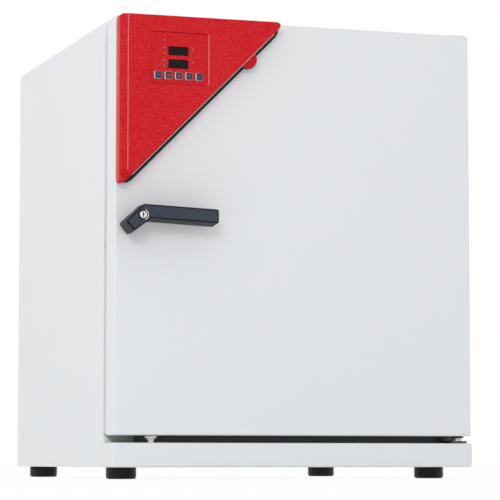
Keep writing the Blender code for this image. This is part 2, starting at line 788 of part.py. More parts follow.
def make_hinge_brackets(cabinet, look):
    """Each bracket is a bent plate with its pin, fixed to the cabinet's front edge or top."""
    left = AXIS_X - HINGE_ARM
    right = DOOR_SIDE
    nose = AXIS_Y - HINGE_ARM + BUSH_FLANGE
    low = FASCIA_TOP + GAP
    corners = ((left, nose), (right, nose), (right, -GAP), (left, -GAP))
    arm = rounded(corners, [HINGE_CORNER, HINGE_CORNER, HINGE_BEND, HINGE_BEND])
    rows = [[(p.x, p.y, z) for p in arm] for z in (low, low + LOWER_PLATE)]
    lower = solid("lower_hinge_bracket", skin(rows), cabinet, look)
    upright = block(left, right, -LOWER_PLATE - GAP, -GAP, low, low + HINGE_UPRIGHT)
    combine(lower, cutter("lower_hinge_upright", upright, cabinet), "UNION")
    root = low + LOWER_PLATE / 4
    collar = DOOR_BOTTOM - GAP - BUSH_FLANGE - GAP
    pin_top = DOOR_BOTTOM + HINGE_PIN_LENGTH
    profile = [
        (0, root), (HINGE_BUSH, root), (HINGE_BUSH, collar), (HINGE_PIN, collar),
        (HINGE_PIN, pin_top - HINGE_POINT), (HINGE_PIN - HINGE_POINT, pin_top), (0, pin_top),
    ]
    combine(lower, cutter("lower_hinge_pin", turned(profile, (AXIS_X, AXIS_Y, 0)), cabinet), "UNION")

    low = BODY_TOP + GAP
    corners = ((left, nose), (right, nose), (right, HINGE_STRAP), (left, HINGE_STRAP))
    strap = rounded(corners, [HINGE_CORNER, HINGE_CORNER, HINGE_CORNER / 2, HINGE_CORNER / 2])
    rows = [[(p.x, p.y, z) for p in strap] for z in (low, low + UPPER_PLATE)]
    upper = solid("upper_hinge_bracket", skin(rows), cabinet, look)
    root = low + UPPER_PLATE / 3
    pin_end = DOOR_TOP - HINGE_PIN_LENGTH
    profile = [
        (0, pin_end), (HINGE_PIN - HINGE_POINT, pin_end), (HINGE_PIN, pin_end + HINGE_POINT),
        (HINGE_PIN, root), (0, root),
    ]
    combine(upper, cutter("upper_hinge_pin", turned(profile, (AXIS_X, AXIS_Y, 0)), cabinet), "UNION")


def make_latch_keeper(cabinet, look):
    """A headed stud on a small plate. The hook rides just above the head at rest."""
    x = -DOOR_SIDE + PIVOT_X - HOOK_REACH + KEEPER_HEAD
    z = HOOK_LOW - HOOK_PLAY - KEEPER_HEAD
    half = KEEPER_WIDTH / 2
    high = z + KEEPER_ABOVE
    bed = block(x - half, x + half, -KEEPER_PLATE, -GAP, high - KEEPER_HEIGHT, high)
    plate = solid("latch_keeper", bed, cabinet, look)
    head = DOOR_BACK + KEEPER_PLATE / 2
    neck = head + KEEPER_HEAD_DEPTH
    root = -KEEPER_PLATE / 2
    profile = [
        (0, head), (KEEPER_HEAD, head), (KEEPER_HEAD, neck), (KEEPER_RADIUS, neck), (KEEPER_RADIUS, root),
        (0, root),
    ]
    stud = turned(profile, (x, 0, z), "Y", 16)
    combine(plate, cutter("keeper_stud", stud, cabinet), "UNION")


def make_probes(cabinet, steel, dark):
    end = INSULATION_END + PROBE_END
    tip = CHAMBER_BACK - SENSOR_REACH
    r = SENSOR_RADIUS
    groove = tip + SENSOR_GROOVE
    step = SENSOR_EDGE / 2
    profile = [
        (0, tip), (r - SENSOR_EDGE, tip), (r, tip + SENSOR_EDGE), (r, groove), (r - step, groove + step),
        (r - step, groove + 2 * step), (r, groove + 3 * step), (r, end), (0, end),
    ]
    head = turned(profile, (SENSOR_X, 0, PROBES_Z), "Y", 20)
    solid("gas_sensor_head", head, cabinet, dark)
    tip = CHAMBER_BACK - PROBE_REACH
    r = PROBE_RADIUS
    profile = [(0, tip), (r / 2, tip), (r, tip + r / 2), (r, end), (0, end)]
    probe = turned(profile, (PROBE_X, 0, PROBES_Z), "Y", 20)
    solid("temperature_sensor", probe, cabinet, steel)


def make_rear_fittings(cabinet, brass, dark, steel):
    r = NOZZLE_RADIUS
    y = REAR_FACE
    thin = r - NOZZLE_COLLAR
    profile = [
        (0, y - 2 * NOZZLE_FLANGE), (r + NOZZLE_COLLAR, y - 2 * NOZZLE_FLANGE), (r + NOZZLE_COLLAR, y + GAP),
        (r + NOZZLE_FLANGE, y + GAP), (r + NOZZLE_FLANGE, y + BARB_PITCH), (thin, y + BARB_PITCH),
    ]
    for barb in range(BARB_COUNT):
        start = y + (barb + 1.4) * BARB_PITCH
        profile += [(thin, start), (r, start + NOZZLE_COLLAR / 2), (thin, start + 0.8 * BARB_PITCH)]
    profile += [(thin - NOZZLE_COLLAR, y + NOZZLE_LENGTH), (0, y + NOZZLE_LENGTH)]
    solid("gas_inlet", turned(profile, (NOZZLE_X, 0, NOZZLE_Z), "Y", 12), cabinet, brass)

    half_x = INLET_WIDTH / 2 - FIT
    half_z = INLET_HEIGHT / 2 - FIT
    body = inlet_block(half_x, half_z, y - INLET_DEPTH, y + INLET_PLATE / 2)
    socket = solid("power_inlet", body, cabinet, dark)
    plate = inlet_block(half_x + INLET_LIP, half_z + INLET_LIP, y + GAP, y + INLET_PLATE)
    combine(socket, cutter("inlet_flange", plate, cabinet), "UNION")
    hollow = inlet_block(
        half_x - INLET_WALL, half_z - INLET_WALL, y - INLET_HOLLOW, y + 2 * INLET_PLATE,
    )
    combine(socket, cutter("inlet_hollow", hollow, cabinet))
    prongs = bmesh.new()
    rise = PRONG_HEIGHT / 2
    for across, up in ((-PRONG_SPREAD, -rise), (0, rise), (PRONG_SPREAD, -rise)):
        x = INLET_X + across
        z = INLET_Z + up
        merge(prongs, block(
            x - PRONG_WIDTH / 2, x + PRONG_WIDTH / 2, y - INLET_HOLLOW - PRONG_WIDTH / 2, y - PRONG_FRONT,
            z - rise, z + rise,
        ))
    combine(socket, cutter("inlet_prongs", prongs, cabinet), "UNION")

    wide, deep, tall = SUPPLY_SIZE
    back = REAR_FACE - SHEET - GAP
    case = block(-wide / 2, wide / 2, back - deep, back, DOOR_MIDDLE - tall / 2, DOOR_MIDDLE + tall / 2)
    bent(solid("power_supply", case, cabinet, steel), SHEET, 1)


def inlet_block(half_x, half_z, y0, y1):
    return block(INLET_X - half_x, INLET_X + half_x, y0, y1, INLET_Z - half_z, INLET_Z + half_z)


# Shelves and pan

def make_shelves(cabinet, look):
    x = CHAMBER_SIDE - SHELF_SIDE_PLAY
    lip_x = CHAMBER_SIDE - RIB_REACH - SHELF_LIP_PLAY
    back = CHAMBER_BACK - SHELF_REAR_PLAY
    front = CHAMBER_FRONT + SHELF_FRONT_PLAY
    for index, level in enumerate(SHELF_RIBS):
        name = ("lower", "middle", "upper")[index] + "_shelf"
        low = rib_height(level) + GAP
        carrier = Carrier(name + "_slide", (0, front, low), cabinet)
        shelf = solid(name, block(-x, x, front, back, low, low + SHEET), carrier, look)
        lips = bmesh.new()
        for y in (front, back - SHEET):
            merge(lips, block(-lip_x, lip_x, y, y + SHEET, low - SHELF_LIP, low + SHEET / 2))
        combine(shelf, cutter(name + "_lips", lips, carrier), "UNION")
        holes = bmesh.new()
        for i in range(SHELF_HOLES_X):
            for j in range(SHELF_HOLES_Y):
                hole_x = (i - (SHELF_HOLES_X - 1) / 2) * (2 * x) / SHELF_HOLES_X
                hole_y = front + (back - front) * (j + 0.5) / SHELF_HOLES_Y
                merge(holes, rod(SHELF_HOLE, (hole_x, hole_y, low), -BEND, BEND, "Z", 8))
        combine(shelf, cutter(name + "_holes", holes, carrier))


def make_water_pan(cabinet, look):
    low = CHAMBER_BOTTOM + GAP
    back = CHAMBER_BACK - PAN_REAR_PLAY
    front = CHAMBER_FRONT + PAN_FRONT_PLAY
    x = CHAMBER_SIDE - PAN_SIDE_PLAY
    carrier = Carrier("water_pan_slide", (0, front, low), cabinet)
    bend = PAN_BEND
    path = [
        (bend, 0), (bend / 3, bend / 5), (0, bend), (0, PAN_HEIGHT - PAN_SHEET),
        (-PAN_RIM, PAN_HEIGHT - PAN_SHEET), (-PAN_RIM, PAN_HEIGHT), (PAN_SHEET, PAN_HEIGHT),
        (PAN_SHEET, bend), (bend / 3 + PAN_SHEET / 2, bend / 5 + PAN_SHEET), (bend, PAN_SHEET),
    ]
    rows = []
    for inset, up in path:
        corner = PAN_CORNER - inset
        rows.append(plan(-x + inset, x - inset, front + inset, back - inset, corner, low + up))
    solid("water_pan", skin(rows), carrier, look)


# Outer door

def make_door_shell(door, white, wool, steel):
    x = DOOR_SIDE
    low = DOOR_BOTTOM
    high = DOOR_TOP
    rows = []
    for inset, advance in quarter(DOOR_BEND, 3):
        corner = DOOR_BEND - inset
        rows.append(rect(x - inset, low + inset, high - inset, corner, DOOR_FRONT + advance))
    edge = DOOR_BEND / 4
    for inset, y in (
        (0, DOOR_BACK - edge), (edge, DOOR_BACK), (DOOR_RETURN, DOOR_BACK), (DOOR_RETURN, DOOR_BACK - SHEET),
        (SHEET, DOOR_BACK - SHEET), (SHEET, DOOR_FRONT + SHEET),
    ):
        corner = max(DOOR_BEND - inset, edge)
        rows.append(rect(x - inset, low + inset, high - inset, corner, y))
    shell = solid("door_skin", skin(rows), door, white)

    inset = SHEET + GAP
    front = DOOR_FRONT + SHEET + GAP
    back = DOOR_BACK - SHEET - GAP
    dish_x = SEAT_SIDE + DISH_MARGIN
    dish_low = SEAT_BOTTOM - DISH_MARGIN
    dish_high = SEAT_TOP + DISH_MARGIN
    grow = SHEET + GAP
    outer = DISH_CORNER + SHEET
    floor = DOOR_BACK - DISH_DEPTH - SHEET - GAP
    rows = [
        rect(x - inset, low + inset, high - inset, DOOR_BEND / 2, front),
        rect(x - inset, low + inset, high - inset, DOOR_BEND / 2, back),
        rect(dish_x + grow, dish_low - grow, dish_high + grow, outer, back),
        rect(dish_x + grow, dish_low - grow, dish_high + grow, outer, floor),
    ]
    filling = solid("door_insulation", skin(rows), door, wool)

    inset = DOOR_RETURN + GAP
    rows = []
    for y in (DOOR_BACK - DISH_DEPTH - SHEET, DOOR_BACK - SHEET):
        rows.append(rect(dish_x + SHEET, dish_low - SHEET, dish_high + SHEET, outer, y))
    for y in (DOOR_BACK - SHEET, DOOR_BACK):
        rows.append(rect(x - inset, low + inset, high - inset, DOOR_BEND / 2, y))
    for y in (DOOR_BACK, DOOR_BACK - DISH_DEPTH):
        rows.append(rect(dish_x, dish_low, dish_high, DISH_CORNER, y))
    panel = solid("door_inner_panel", skin(rows), door, steel)

    for piece in (shell, filling, panel):
        hole = rod(SHAFT_RADIUS + FIT, PIVOT, DOOR_FRONT - BEND, DOOR_BACK + BEND, "Y", 16)
        combine(piece, cutter(piece.name + "_shaft_hole", hole, door))
    deep = HINGE_PIN_LENGTH + SOCKET_PLAY
    axis = (AXIS_X, AXIS_Y, 0)
    for piece in (shell, filling):
        sockets = bmesh.new()
        merge(sockets, rod(HINGE_BUSH + FIT, axis, DOOR_BOTTOM - BEND, DOOR_BOTTOM + deep, "Z", 20))
        merge(sockets, rod(HINGE_BUSH + FIT, axis, DOOR_TOP - deep, DOOR_TOP + BEND, "Z", 20))
        combine(piece, cutter(piece.name + "_hinge_sockets", sockets, door))


def make_door_gasket(door, look):
    x = DOOR_SIDE - SEAL_INSET_X - SEAL_WIDTH
    inner = (x, DOOR_BOTTOM + SEAL_INSET_Z + SEAL_WIDTH, DOOR_TOP - SEAL_INSET_Z - SEAL_WIDTH)
    ring_seal("door_gasket", door, look, inner, SEAL_WIDTH, DOOR_BACK + GAP, -GAP)


def make_hinge_bushes(door, look):
    inner = HINGE_PIN + FIT
    axis = (AXIS_X, AXIS_Y, 0)
    flange = HINGE_BUSH + BUSH_FLANGE
    high = DOOR_BOTTOM + HINGE_PIN_LENGTH
    profile = [
        (inner, DOOR_BOTTOM - GAP - BUSH_FLANGE), (flange, DOOR_BOTTOM - GAP - BUSH_FLANGE),
        (flange, DOOR_BOTTOM - GAP), (HINGE_BUSH, DOOR_BOTTOM - GAP), (HINGE_BUSH, high), (inner, high),
    ]
    solid("lower_hinge_bush", turned(profile, axis), door, look)
    low = DOOR_TOP - HINGE_PIN_LENGTH
    profile = [(inner, low), (HINGE_BUSH, low), (HINGE_BUSH, DOOR_TOP - GAP), (inner, DOOR_TOP - GAP)]
    solid("upper_hinge_bush", turned(profile, axis), door, look)


# Control cover

def triangle(inset, y, left=0.0):
    """The cover's right-angled outline, moved in from all three edges, in the plane at depth y."""
    x0 = -DOOR_SIDE + inset + left
    z1 = DOOR_TOP - inset
    slant = inset * (1 + math.sqrt(2))
    far_x = -DOOR_SIDE + COVER_LEG - slant
    far_z = DOOR_TOP - COVER_LEG + slant
    corners = ((x0, far_z + left), (far_x, z1), (x0, z1))
    tip = max(COVER_TIP - inset, 2 * MM)
    return [(p.x, y, p.y) for p in rounded(corners, [tip, tip, max(COVER_CORNER - inset, 2 * MM)], 5)]


def make_control_cover(door, look):
    raised = COVER_FRONT
    band = COVER_FRONT + COVER_BAND_DROP
    left = COVER_BAND - COVER_ROUND
    rows = [
        triangle(COVER_ROUND + COVER_BAND_DROP, raised, left),
        triangle(COVER_ROUND + COVER_BAND_DROP - COVER_STEP, raised + COVER_STEP, left - COVER_STEP),
        triangle(COVER_ROUND, band, COVER_BAND_DROP),
    ]
    for inset, advance in quarter(COVER_ROUND, 3)[1:]:
        rows.append(triangle(inset, band + advance))
    rows.append(triangle(0, COVER_BACK))
    rows.append(triangle(COVER_WALL, COVER_BACK))
    rows.append(triangle(COVER_WALL, band + 1.5 * COVER_WALL))
    cover = solid("control_cover", skin(rows), door, look, 30)

    opening = prism(bezel_outline(0), COVER_FRONT - BEND, COVER_BACK - COVER_STEP)
    combine(cover, cutter("bezel_opening", opening, door))
    x, _, z = SWITCH_PLACE
    near = SWITCH_RADIUS + SLOT_PLAY
    far = 2 * SWITCH_RADIUS
    front = switch_front()
    slot = block(x - near, x + far, front - FIT, front + SWITCH_THICKNESS + FIT, z - far, z + near)
    combine(cover, cutter("switch_slot", slot, door))
    notch = rod(SWITCH_SPINDLE + 2 * FIT, SWITCH_PLACE, front + SLOT_PLAY, COVER_BACK + BEND, "Y", 16)
    combine(cover, cutter("spindle_notch", notch, door))


def switch_front():
    return COVER_FRONT + SWITCH_SET_BACK


def box_outline(left, right, low, high, radius, steps=3):
    """A rounded rectangle as flat (x, z) points."""
    corners = ((left, low), (right, low), (right, high), (left, high))
    return [(p.x, p.y) for p in rounded(corners, radius, steps)]


def bezel_outline(inset):
    left = -DOOR_SIDE + BEZEL_LEFT + inset
    right = left + BEZEL_WIDTH - 2 * inset
    high = DOOR_TOP - BEZEL_TOP - inset
    low = high - BEZEL_HEIGHT + 2 * inset
    return box_outline(left, right, low, high, BEZEL_CORNER - inset)


def key_places():
    middle = -DOOR_SIDE + KEY_MIDDLE
    return [middle + (i - (KEY_COUNT - 1) / 2) * KEY_PITCH for i in range(KEY_COUNT)]


def make_control_bezel(door, look):
    front = BEZEL_FRONT
    back = BEZEL_FRONT + BEZEL_THICKNESS
    bezel = solid("control_bezel", prism(bezel_outline(FIT), front, back), door, look)
    holes = bmesh.new()
    start = front - BEZEL_THICKNESS
    end = back + BEZEL_THICKNESS
    x = -DOOR_SIDE + WINDOW_X
    for top in WINDOW_TOPS:
        z = DOOR_TOP - top
        merge(holes, block(x - WINDOW_WIDTH / 2, x + WINDOW_WIDTH / 2, start, end, z - WINDOW_HEIGHT, z))
    reach = KEY_SIZE / 2 + FIT
    z = DOOR_TOP - KEY_DROP
    for x in key_places():
        merge(holes, block(x - reach, x + reach, start, end, z - reach, z + reach))
    for column, drops in ((LEFT_LAMPS_X, LEFT_LAMPS), (RIGHT_LAMPS_X, RIGHT_LAMPS)):
        for drop in drops:
            place = (-DOOR_SIDE + column, 0, DOOR_TOP - drop)
            merge(holes, rod(LAMP_RADIUS + FIT, place, start, end, "Y", 8))
    combine(bezel, cutter("bezel_holes", holes, door))


def make_windows(door, look):
    x = -DOOR_SIDE + WINDOW_X
    half = WINDOW_WIDTH / 2 - FIT
    front = BEZEL_FRONT + DISPLAY_SUNK
    back = BEZEL_FRONT + BEZEL_THICKNESS + DISPLAY_DEPTH
    for name, top in zip(("upper_display", "lower_display"), WINDOW_TOPS):
        z = DOOR_TOP - top
        pane = block(x - half, x + half, front, back, z - WINDOW_HEIGHT + FIT, z - FIT)
        solid(name, pane, door, look)


def make_lamps(door, look):
    """Light guides: a bar behind the bezel with one round window for each lamp."""
    back = BEZEL_FRONT + BEZEL_THICKNESS
    for name, column, drops in (
        ("left_lamps", LEFT_LAMPS_X, LEFT_LAMPS), ("right_lamps", RIGHT_LAMPS_X, RIGHT_LAMPS),
    ):
        x = -DOOR_SIDE + column
        low = DOOR_TOP - max(drops) - LAMP_MARGIN
        high = DOOR_TOP - min(drops) + LAMP_MARGIN
        guide = block(x - LAMP_BAR, x + LAMP_BAR, back + GAP, back + LAMP_BAR, low, high)
        bar = solid(name, guide, door, look)
        stubs = bmesh.new()
        for drop in drops:
            place = (x, 0, DOOR_TOP - drop)
            merge(stubs, rod(LAMP_RADIUS, place, BEZEL_FRONT - LAMP_PROUD, back + LAMP_BAR / 2, "Y", 8))
        combine(bar, cutter(name + "_stubs", stubs, door), "UNION")


def make_control_board(door, look):
    left = -DOOR_SIDE + BEZEL_LEFT + BOARD_MARGIN
    right = left + BEZEL_WIDTH - 2 * BOARD_MARGIN
    high = DOOR_TOP - BEZEL_TOP - BOARD_MARGIN
    low = high - BEZEL_HEIGHT + 2 * BOARD_MARGIN
    front = BEZEL_FRONT + BEZEL_THICKNESS + DISPLAY_DEPTH + GAP
    outline = box_outline(left, right, low, high, BEZEL_CORNER - BOARD_MARGIN, 1)
    solid("control_board", prism(outline, front, front + BOARD_THICKNESS), door, look)


def make_control_base(door, look):
    """The dark seat between cover and door, which shows along the slanting edge."""
    show = BASE_SHOW * math.sqrt(2)
    left = -DOOR_SIDE + BASE_SET_IN
    high = DOOR_TOP - BASE_SET_IN
    corners = (
        (left, DOOR_TOP - COVER_LEG - show), (-DOOR_SIDE + COVER_LEG + show, high), (left, high),
    )
    outline = [(p.x, p.y) for p in rounded(corners, [BASE_TIP, BASE_TIP, COVER_CORNER], 5)]
    solid("control_base", prism(outline, DOOR_FRONT - GAP - BASE_DEPTH, DOOR_FRONT - GAP), door, look)


def make_keys(door, look):
    z = DOOR_TOP - KEY_DROP
    front = BEZEL_FRONT - KEY_PROUD
    back = BEZEL_FRONT + BEZEL_THICKNESS + DISPLAY_DEPTH - KEY_TRAVEL - KEY_STOP
    crown = ((KEY_EDGE, front), (KEY_EDGE / 6, front + KEY_EDGE), (0, BEZEL_FRONT), (0, back))
    for i, x in enumerate(key_places()):
        carrier = Carrier("key_%d_slide" % (i + 1), (x, front, z), door)
        rows = []
        for inset, y in crown:
            size = KEY_SIZE / 2 - inset
            outline = box_outline(x - size, x + size, z - size, z + size, KEY_EDGE, 1)
            rows.append([(px, y, pz) for px, pz in outline])
        solid("key_%d" % (i + 1), skin(rows), carrier, look)


def make_main_switch(door, look):
    """The switch's thumb disc, turned on a short spindle behind the slanting edge."""
    front = switch_front()
    rear = front + SWITCH_THICKNESS
    carrier = Carrier("main_switch_turn", (SWITCH_PLACE[0], front, SWITCH_PLACE[2]), door)
    r = SWITCH_RADIUS
    edge = SWITCH_EDGE
    profile = [
        (0, front), (r - edge, front), (r, front + edge), (r, rear - edge), (r - edge, rear),
        (SWITCH_SPINDLE, rear), (SWITCH_SPINDLE, COVER_BACK), (0, COVER_BACK),
    ]
    solid("main_switch", turned(profile, SWITCH_PLACE, "Y", 28), carrier, look)


# Door lever

def lever_outline(swell=0.0):
    """Bar and short leg, in the door's plane; the underside lies lower by the swell."""
    low = LEVER_WIDTH - LEVER_RISE + swell
    high = -LEVER_RISE
    outline = (
        (-LEG_FOOT, LEG_DROP + swell), (LEVER_ELBOW, low), (LEVER_REACH, low + LEVER_DROP),
        (LEVER_REACH, high + LEVER_DROP), (LEVER_SHOULDER, high), (-LEG_SIDE, 0),
    )
    return [(PIVOT[0] + right, PIVOT[2] - drop) for right, drop in outline]


def leg_block():
    """Outline of the leg's foot, which stands behind the lever and reaches back to the rose."""
    low, elbow, _, _, shoulder, side = [Vector(point) for point in lever_outline(LEVER_SWELL)]
    along_low = (elbow - low).normalized() * LEG_BLOCK
    along_high = (shoulder - side).normalized() * LEG_BLOCK
    inside = offset([low, low + along_low, side + along_high, side], -LEG_BLOCK_SET_IN)
    return rounded([tuple(point) for point in inside], LEVER_CORNER, 3)


def offset(points, amount):
    """Moves each edge of a closed outline outwards by an amount."""
    moved = []
    for i, corner in enumerate(points):
        corner = Vector(corner)
        into = (corner - Vector(points[i - 1])).normalized()
        out = (Vector(points[(i + 1) % len(points)]) - corner).normalized()
        normal_in = Vector((into.y, -into.x))
        normal_out = Vector((out.y, -out.x))
        total = normal_in + normal_out
        moved.append(corner + total * (amount / (1 + normal_in.dot(normal_out))))
    return moved


def make_lever(lever, look):
    radii = [LEVER_CORNER, 2 * LEVER_CORNER, LEVER_END, LEVER_END, LEVER_END, LEVER_CORNER]
    rows = []
    for grow, swell, y in (
        (-LEVER_CHAMFER, 0, LEVER_FRONT), (-LEVER_CHAMFER / 3, 0, LEVER_FRONT + LEVER_CHAMFER / 3),
        (0, 0, LEVER_FRONT + LEVER_CHAMFER), (LEVER_DRAFT, LEVER_SWELL, LEVER_BACK - LEVER_EDGE),
        (LEVER_DRAFT - LEVER_EDGE, LEVER_SWELL, LEVER_BACK),
    ):
        outline = rounded([tuple(p) for p in offset(lever_outline(swell), grow)], radii, 3)
        rows.append([(p.x, y, p.y) for p in outline])
    body = solid("door_lever", skin(rows), lever, look, 25)
    rose_face = DOOR_FRONT - GAP - ROSE_DEPTH - GAP
    hold = LEVER_BACK - SHAFT_HOLD
    block = prism(leg_block(), LEVER_BACK - LEVER_CHAMFER, rose_face)
    combine(body, cutter("lever_block", block, lever), "UNION")
    cuts = rod(SHAFT_RADIUS + FIT, PIVOT, hold, DOOR_FRONT, "Y", 16)
    merge(cuts, rod(LOCK_RADIUS + FIT, LOCK_PLACE, LEVER_FRONT - BEND, LEVER_FRONT + LOCK_LENGTH, "Y", 20))
    combine(body, cutter("lever_bores", cuts, lever))


def make_latch(lever, look):
    hook_back = -HOOK_BACK
    hook_front = hook_back - HOOK_THICKNESS
    shaft = rod(SHAFT_RADIUS, PIVOT, LEVER_BACK - SHAFT_HOLD + GAP, hook_front - GAP, "Y", 16)
    solid("latch_shaft", shaft, lever, look)
    eye = rod(SHAFT_RADIUS + HOOK_EYE, PIVOT, hook_front, hook_back, "Y", 20)
    hook = solid("latch_hook", eye, lever, look)
    x, _, z = PIVOT
    left = x - HOOK_REACH
    half = HOOK_HEIGHT / 2
    nose = ((left, z - half), (x, z - half), (x, z + half), (left + half, z + half))
    radii = [HOOK_EDGE, HOOK_EDGE, HOOK_EDGE, 3 * HOOK_EDGE]
    outline = [(p.x, p.y) for p in rounded(nose, radii, 2)]
    combine(hook, cutter("hook_nose", prism(outline, hook_front, hook_back), lever), "UNION")


def make_lock(lever, look):
    x, _, z = LOCK_PLACE
    lock = Carrier("lock_turn", (x, LEVER_FRONT, z), lever)
    front = LEVER_FRONT - LOCK_PROUD
    back = LEVER_FRONT + LOCK_LENGTH - GAP
    r = LOCK_RADIUS
    profile = [(0, front), (r - LOCK_EDGE, front), (r, front + LOCK_EDGE), (r, back), (0, back)]
    barrel = solid("lock_cylinder", turned(profile, LOCK_PLACE, "Y", 20), lock, look)
    wide = KEYWAY_WIDTH / 2
    slot = block(x - wide, x + wide, front - BEND, front + KEYWAY_DEPTH, z - r / 2, z + r / 2)
    combine(barrel, cutter("keyway", slot, lock))


def make_rose(door, look):
    back = DOOR_FRONT - GAP
    front = back - ROSE_DEPTH
    inner = SHAFT_RADIUS + FIT
    profile = [
        (inner, front), (ROSE_RADIUS - ROSE_EDGE, front), (ROSE_RADIUS, front + ROSE_EDGE),
        (ROSE_RADIUS, back), (inner, back),
    ]
    solid("handle_rose", turned(profile, PIVOT, "Y", 24), door, look)


# Inner glass door

def make_glass_door(glass, cabinet, clear, metal, dark):
    rows = []
    for inset, y in (
        (GLASS_EDGE, GLASS_FRONT), (0, GLASS_FRONT + GLASS_EDGE), (0, GLASS_BACK - GLASS_EDGE),
        (GLASS_EDGE, GLASS_BACK),
    ):
        corner = GLASS_CORNER - inset
        rows.append(rect(GLASS_SIDE - inset, GLASS_BOTTOM + inset, GLASS_TOP - inset, corner, y, 2))
    pane = solid("glass_pane", skin(rows), glass, clear)
    hole = rod(CATCH_BORE + FIT, CATCH_PLACE, -BEND, GLASS_BACK + BEND, "Y", 12)
    combine(pane, cutter("pane_hole", hole, glass))

    lower = GLASS_BOTTOM + GLASS_HINGE_INSET - GLASS_HINGE_LENGTH
    make_glass_hinge("upper_glass_hinge", GLASS_TOP - GLASS_HINGE_INSET, 1, glass, cabinet, metal)
    make_glass_hinge("lower_glass_hinge", lower, -1, glass, cabinet, metal)
    make_glass_catch(glass, cabinet, metal, dark)


def make_glass_hinge(name, low, side, glass, cabinet, metal):
    """A leaf with its barrel on the pane, and a fixed post with the pin above it or below it."""
    axis = (GLASS_AXIS_X, GLASS_AXIS_Y, 0)
    high = low + GLASS_HINGE_LENGTH
    back = GLASS_FRONT - GAP
    plate = block(GLASS_SIDE - GLASS_LEAF, GLASS_SIDE, back - GLASS_LEAF_PLATE, back, low, high)
    leaf = solid(name, plate, glass, metal)
    rear = GLASS_AXIS_Y + 1.3 * GLASS_KNUCKLE
    web = block(GLASS_SIDE - GLASS_KNUCKLE, GLASS_AXIS_X, rear - GLASS_LEAF_PLATE, rear, low, high)
    combine(leaf, cutter(name + "_web", web, glass), "UNION")
    combine(leaf, cutter(name + "_barrel", rod(GLASS_KNUCKLE, axis, low, high, "Z", 16), glass), "UNION")
    bore = rod(GLASS_PIN + FIT, axis, low - BEND, high + BEND, "Z", 12)
    combine(leaf, cutter(name + "_bore", bore, glass))

    lug = GLASS_POST_LUG
    lug_low = high + GAP if side > 0 else low - GAP - lug
    half = GLASS_POST
    left = GLASS_AXIS_X - half
    shelf = block(left, GLASS_AXIS_X + half, GLASS_AXIS_Y - half, -GAP, lug_low, lug_low + lug)
    post = solid(name + "_post", shelf, cabinet, metal)
    if side > 0:
        ends = (high - GLASS_HINGE_LENGTH + lug, lug_low + lug / 2)
        foot_low = lug_low
    else:
        ends = (lug_low + lug / 2, low + GLASS_HINGE_LENGTH - lug)
        foot_low = lug_low + lug - GLASS_POST_FOOT
    combine(post, cutter(name + "_pin", rod(GLASS_PIN, axis, ends[0], ends[1], "Z", 12), cabinet), "UNION")
    right = GLASS_AXIS_X + GLASS_POST_REACH
    front = -GAP - GLASS_POST_PLATE
    foot = block(left, right, front, -GAP, foot_low, foot_low + GLASS_POST_FOOT)
    combine(post, cutter(name + "_foot", foot, cabinet), "UNION")


def make_glass_catch(glass, cabinet, metal, dark):
    x, _, z = CATCH_PLACE
    catch = Carrier("glass_catch_turn", (x, GLASS_FRONT, z), glass)
    seat = GLASS_FRONT - GAP
    front = seat - CATCH_STAND
    edge = GLASS_EDGE
    profile = [
        (0, front), (CATCH_RADIUS - edge, front), (CATCH_RADIUS, front + edge),
        (CATCH_RADIUS, front + CATCH_KNOB), (CATCH_NECK, front + CATCH_KNOB + edge), (CATCH_NECK, seat),
        (CATCH_BORE, seat), (CATCH_BORE, GLASS_BACK - GAP), (0, GLASS_BACK - GAP),
    ]
    knob = solid("glass_catch", turned(profile, CATCH_PLACE, "Y", 20), catch, dark)
    back = seat - CATCH_NECK / 2
    half = TONGUE_HEIGHT / 2
    tongue = block(x - TONGUE_REACH, x, back - TONGUE_PLATE, back, z - half, z + half)
    combine(knob, cutter("catch_tongue", tongue, catch), "UNION")

    left = x - TONGUE_REACH - FRAME_STEP / 2
    high = z - half - 2 * GAP
    strike = block(left, left + STRIKE_WIDTH, -STRIKE_PROUD, -GAP, high - STRIKE_HEIGHT, high)
    bent(solid("glass_strike", strike, cabinet, metal), GLASS_EDGE, 1)


def build():
    cabinet = Carrier("cabinet")
    make_outer_housing(cabinet, white)
    make_base_pan(cabinet, steel_look)
    make_rear_cover(cabinet, white)
    make_front_frame(cabinet, frame_look)
    make_cabinet_insulation(cabinet, wool_look)
    make_air_jacket(cabinet, steel_look)
    make_inner_chamber(cabinet, steel_look)
    make_jacket_heater(cabinet, board_look)
    make_chamber_gasket(cabinet, rubber_look)
    make_lower_front_panel(cabinet, white)
    make_feet(cabinet, rubber_look)
    make_door_rest(cabinet, glide_look)
    make_hinge_brackets(cabinet, steel_look)
    make_latch_keeper(cabinet, steel_look)
    make_probes(cabinet, steel_look, dark_look)
    make_rear_fittings(cabinet, brass_look, dark_look, steel_look)
    make_shelves(cabinet, steel_look)
    make_water_pan(cabinet, steel_look)

    door = Carrier("door_hinge", (AXIS_X, AXIS_Y, DOOR_BOTTOM), cabinet)
    make_door_shell(door, white, wool_look, steel_look)
    make_door_gasket(door, rubber_look)
    make_hinge_bushes(door, dark_look)
    make_control_base(door, dark_look)
    make_control_cover(door, red_look)
    make_control_bezel(door, red_look)
    make_windows(door, display_look)
    make_lamps(door, lamp_look)
    make_control_board(door, board_look)
    make_keys(door, key_look)
    make_main_switch(door, red_look)
    make_rose(door, dark_look)

    lever = Carrier("lever_turn", (-DOOR_SIDE + PIVOT_X, DOOR_FRONT, DOOR_TOP - PIVOT_DROP), door)
    make_lever(lever, handle_look)
    make_latch(lever, steel_look)
    make_lock(lever, chrome_look)

    glass = Carrier("glass_hinge", (GLASS_AXIS_X, GLASS_AXIS_Y, GLASS_BOTTOM), cabinet)
    make_glass_door(glass, cabinet, glass_look, chrome_look, dark_look)
    cabinet.pivot.location.y = -(FRONT_END + REAR_END) / 2


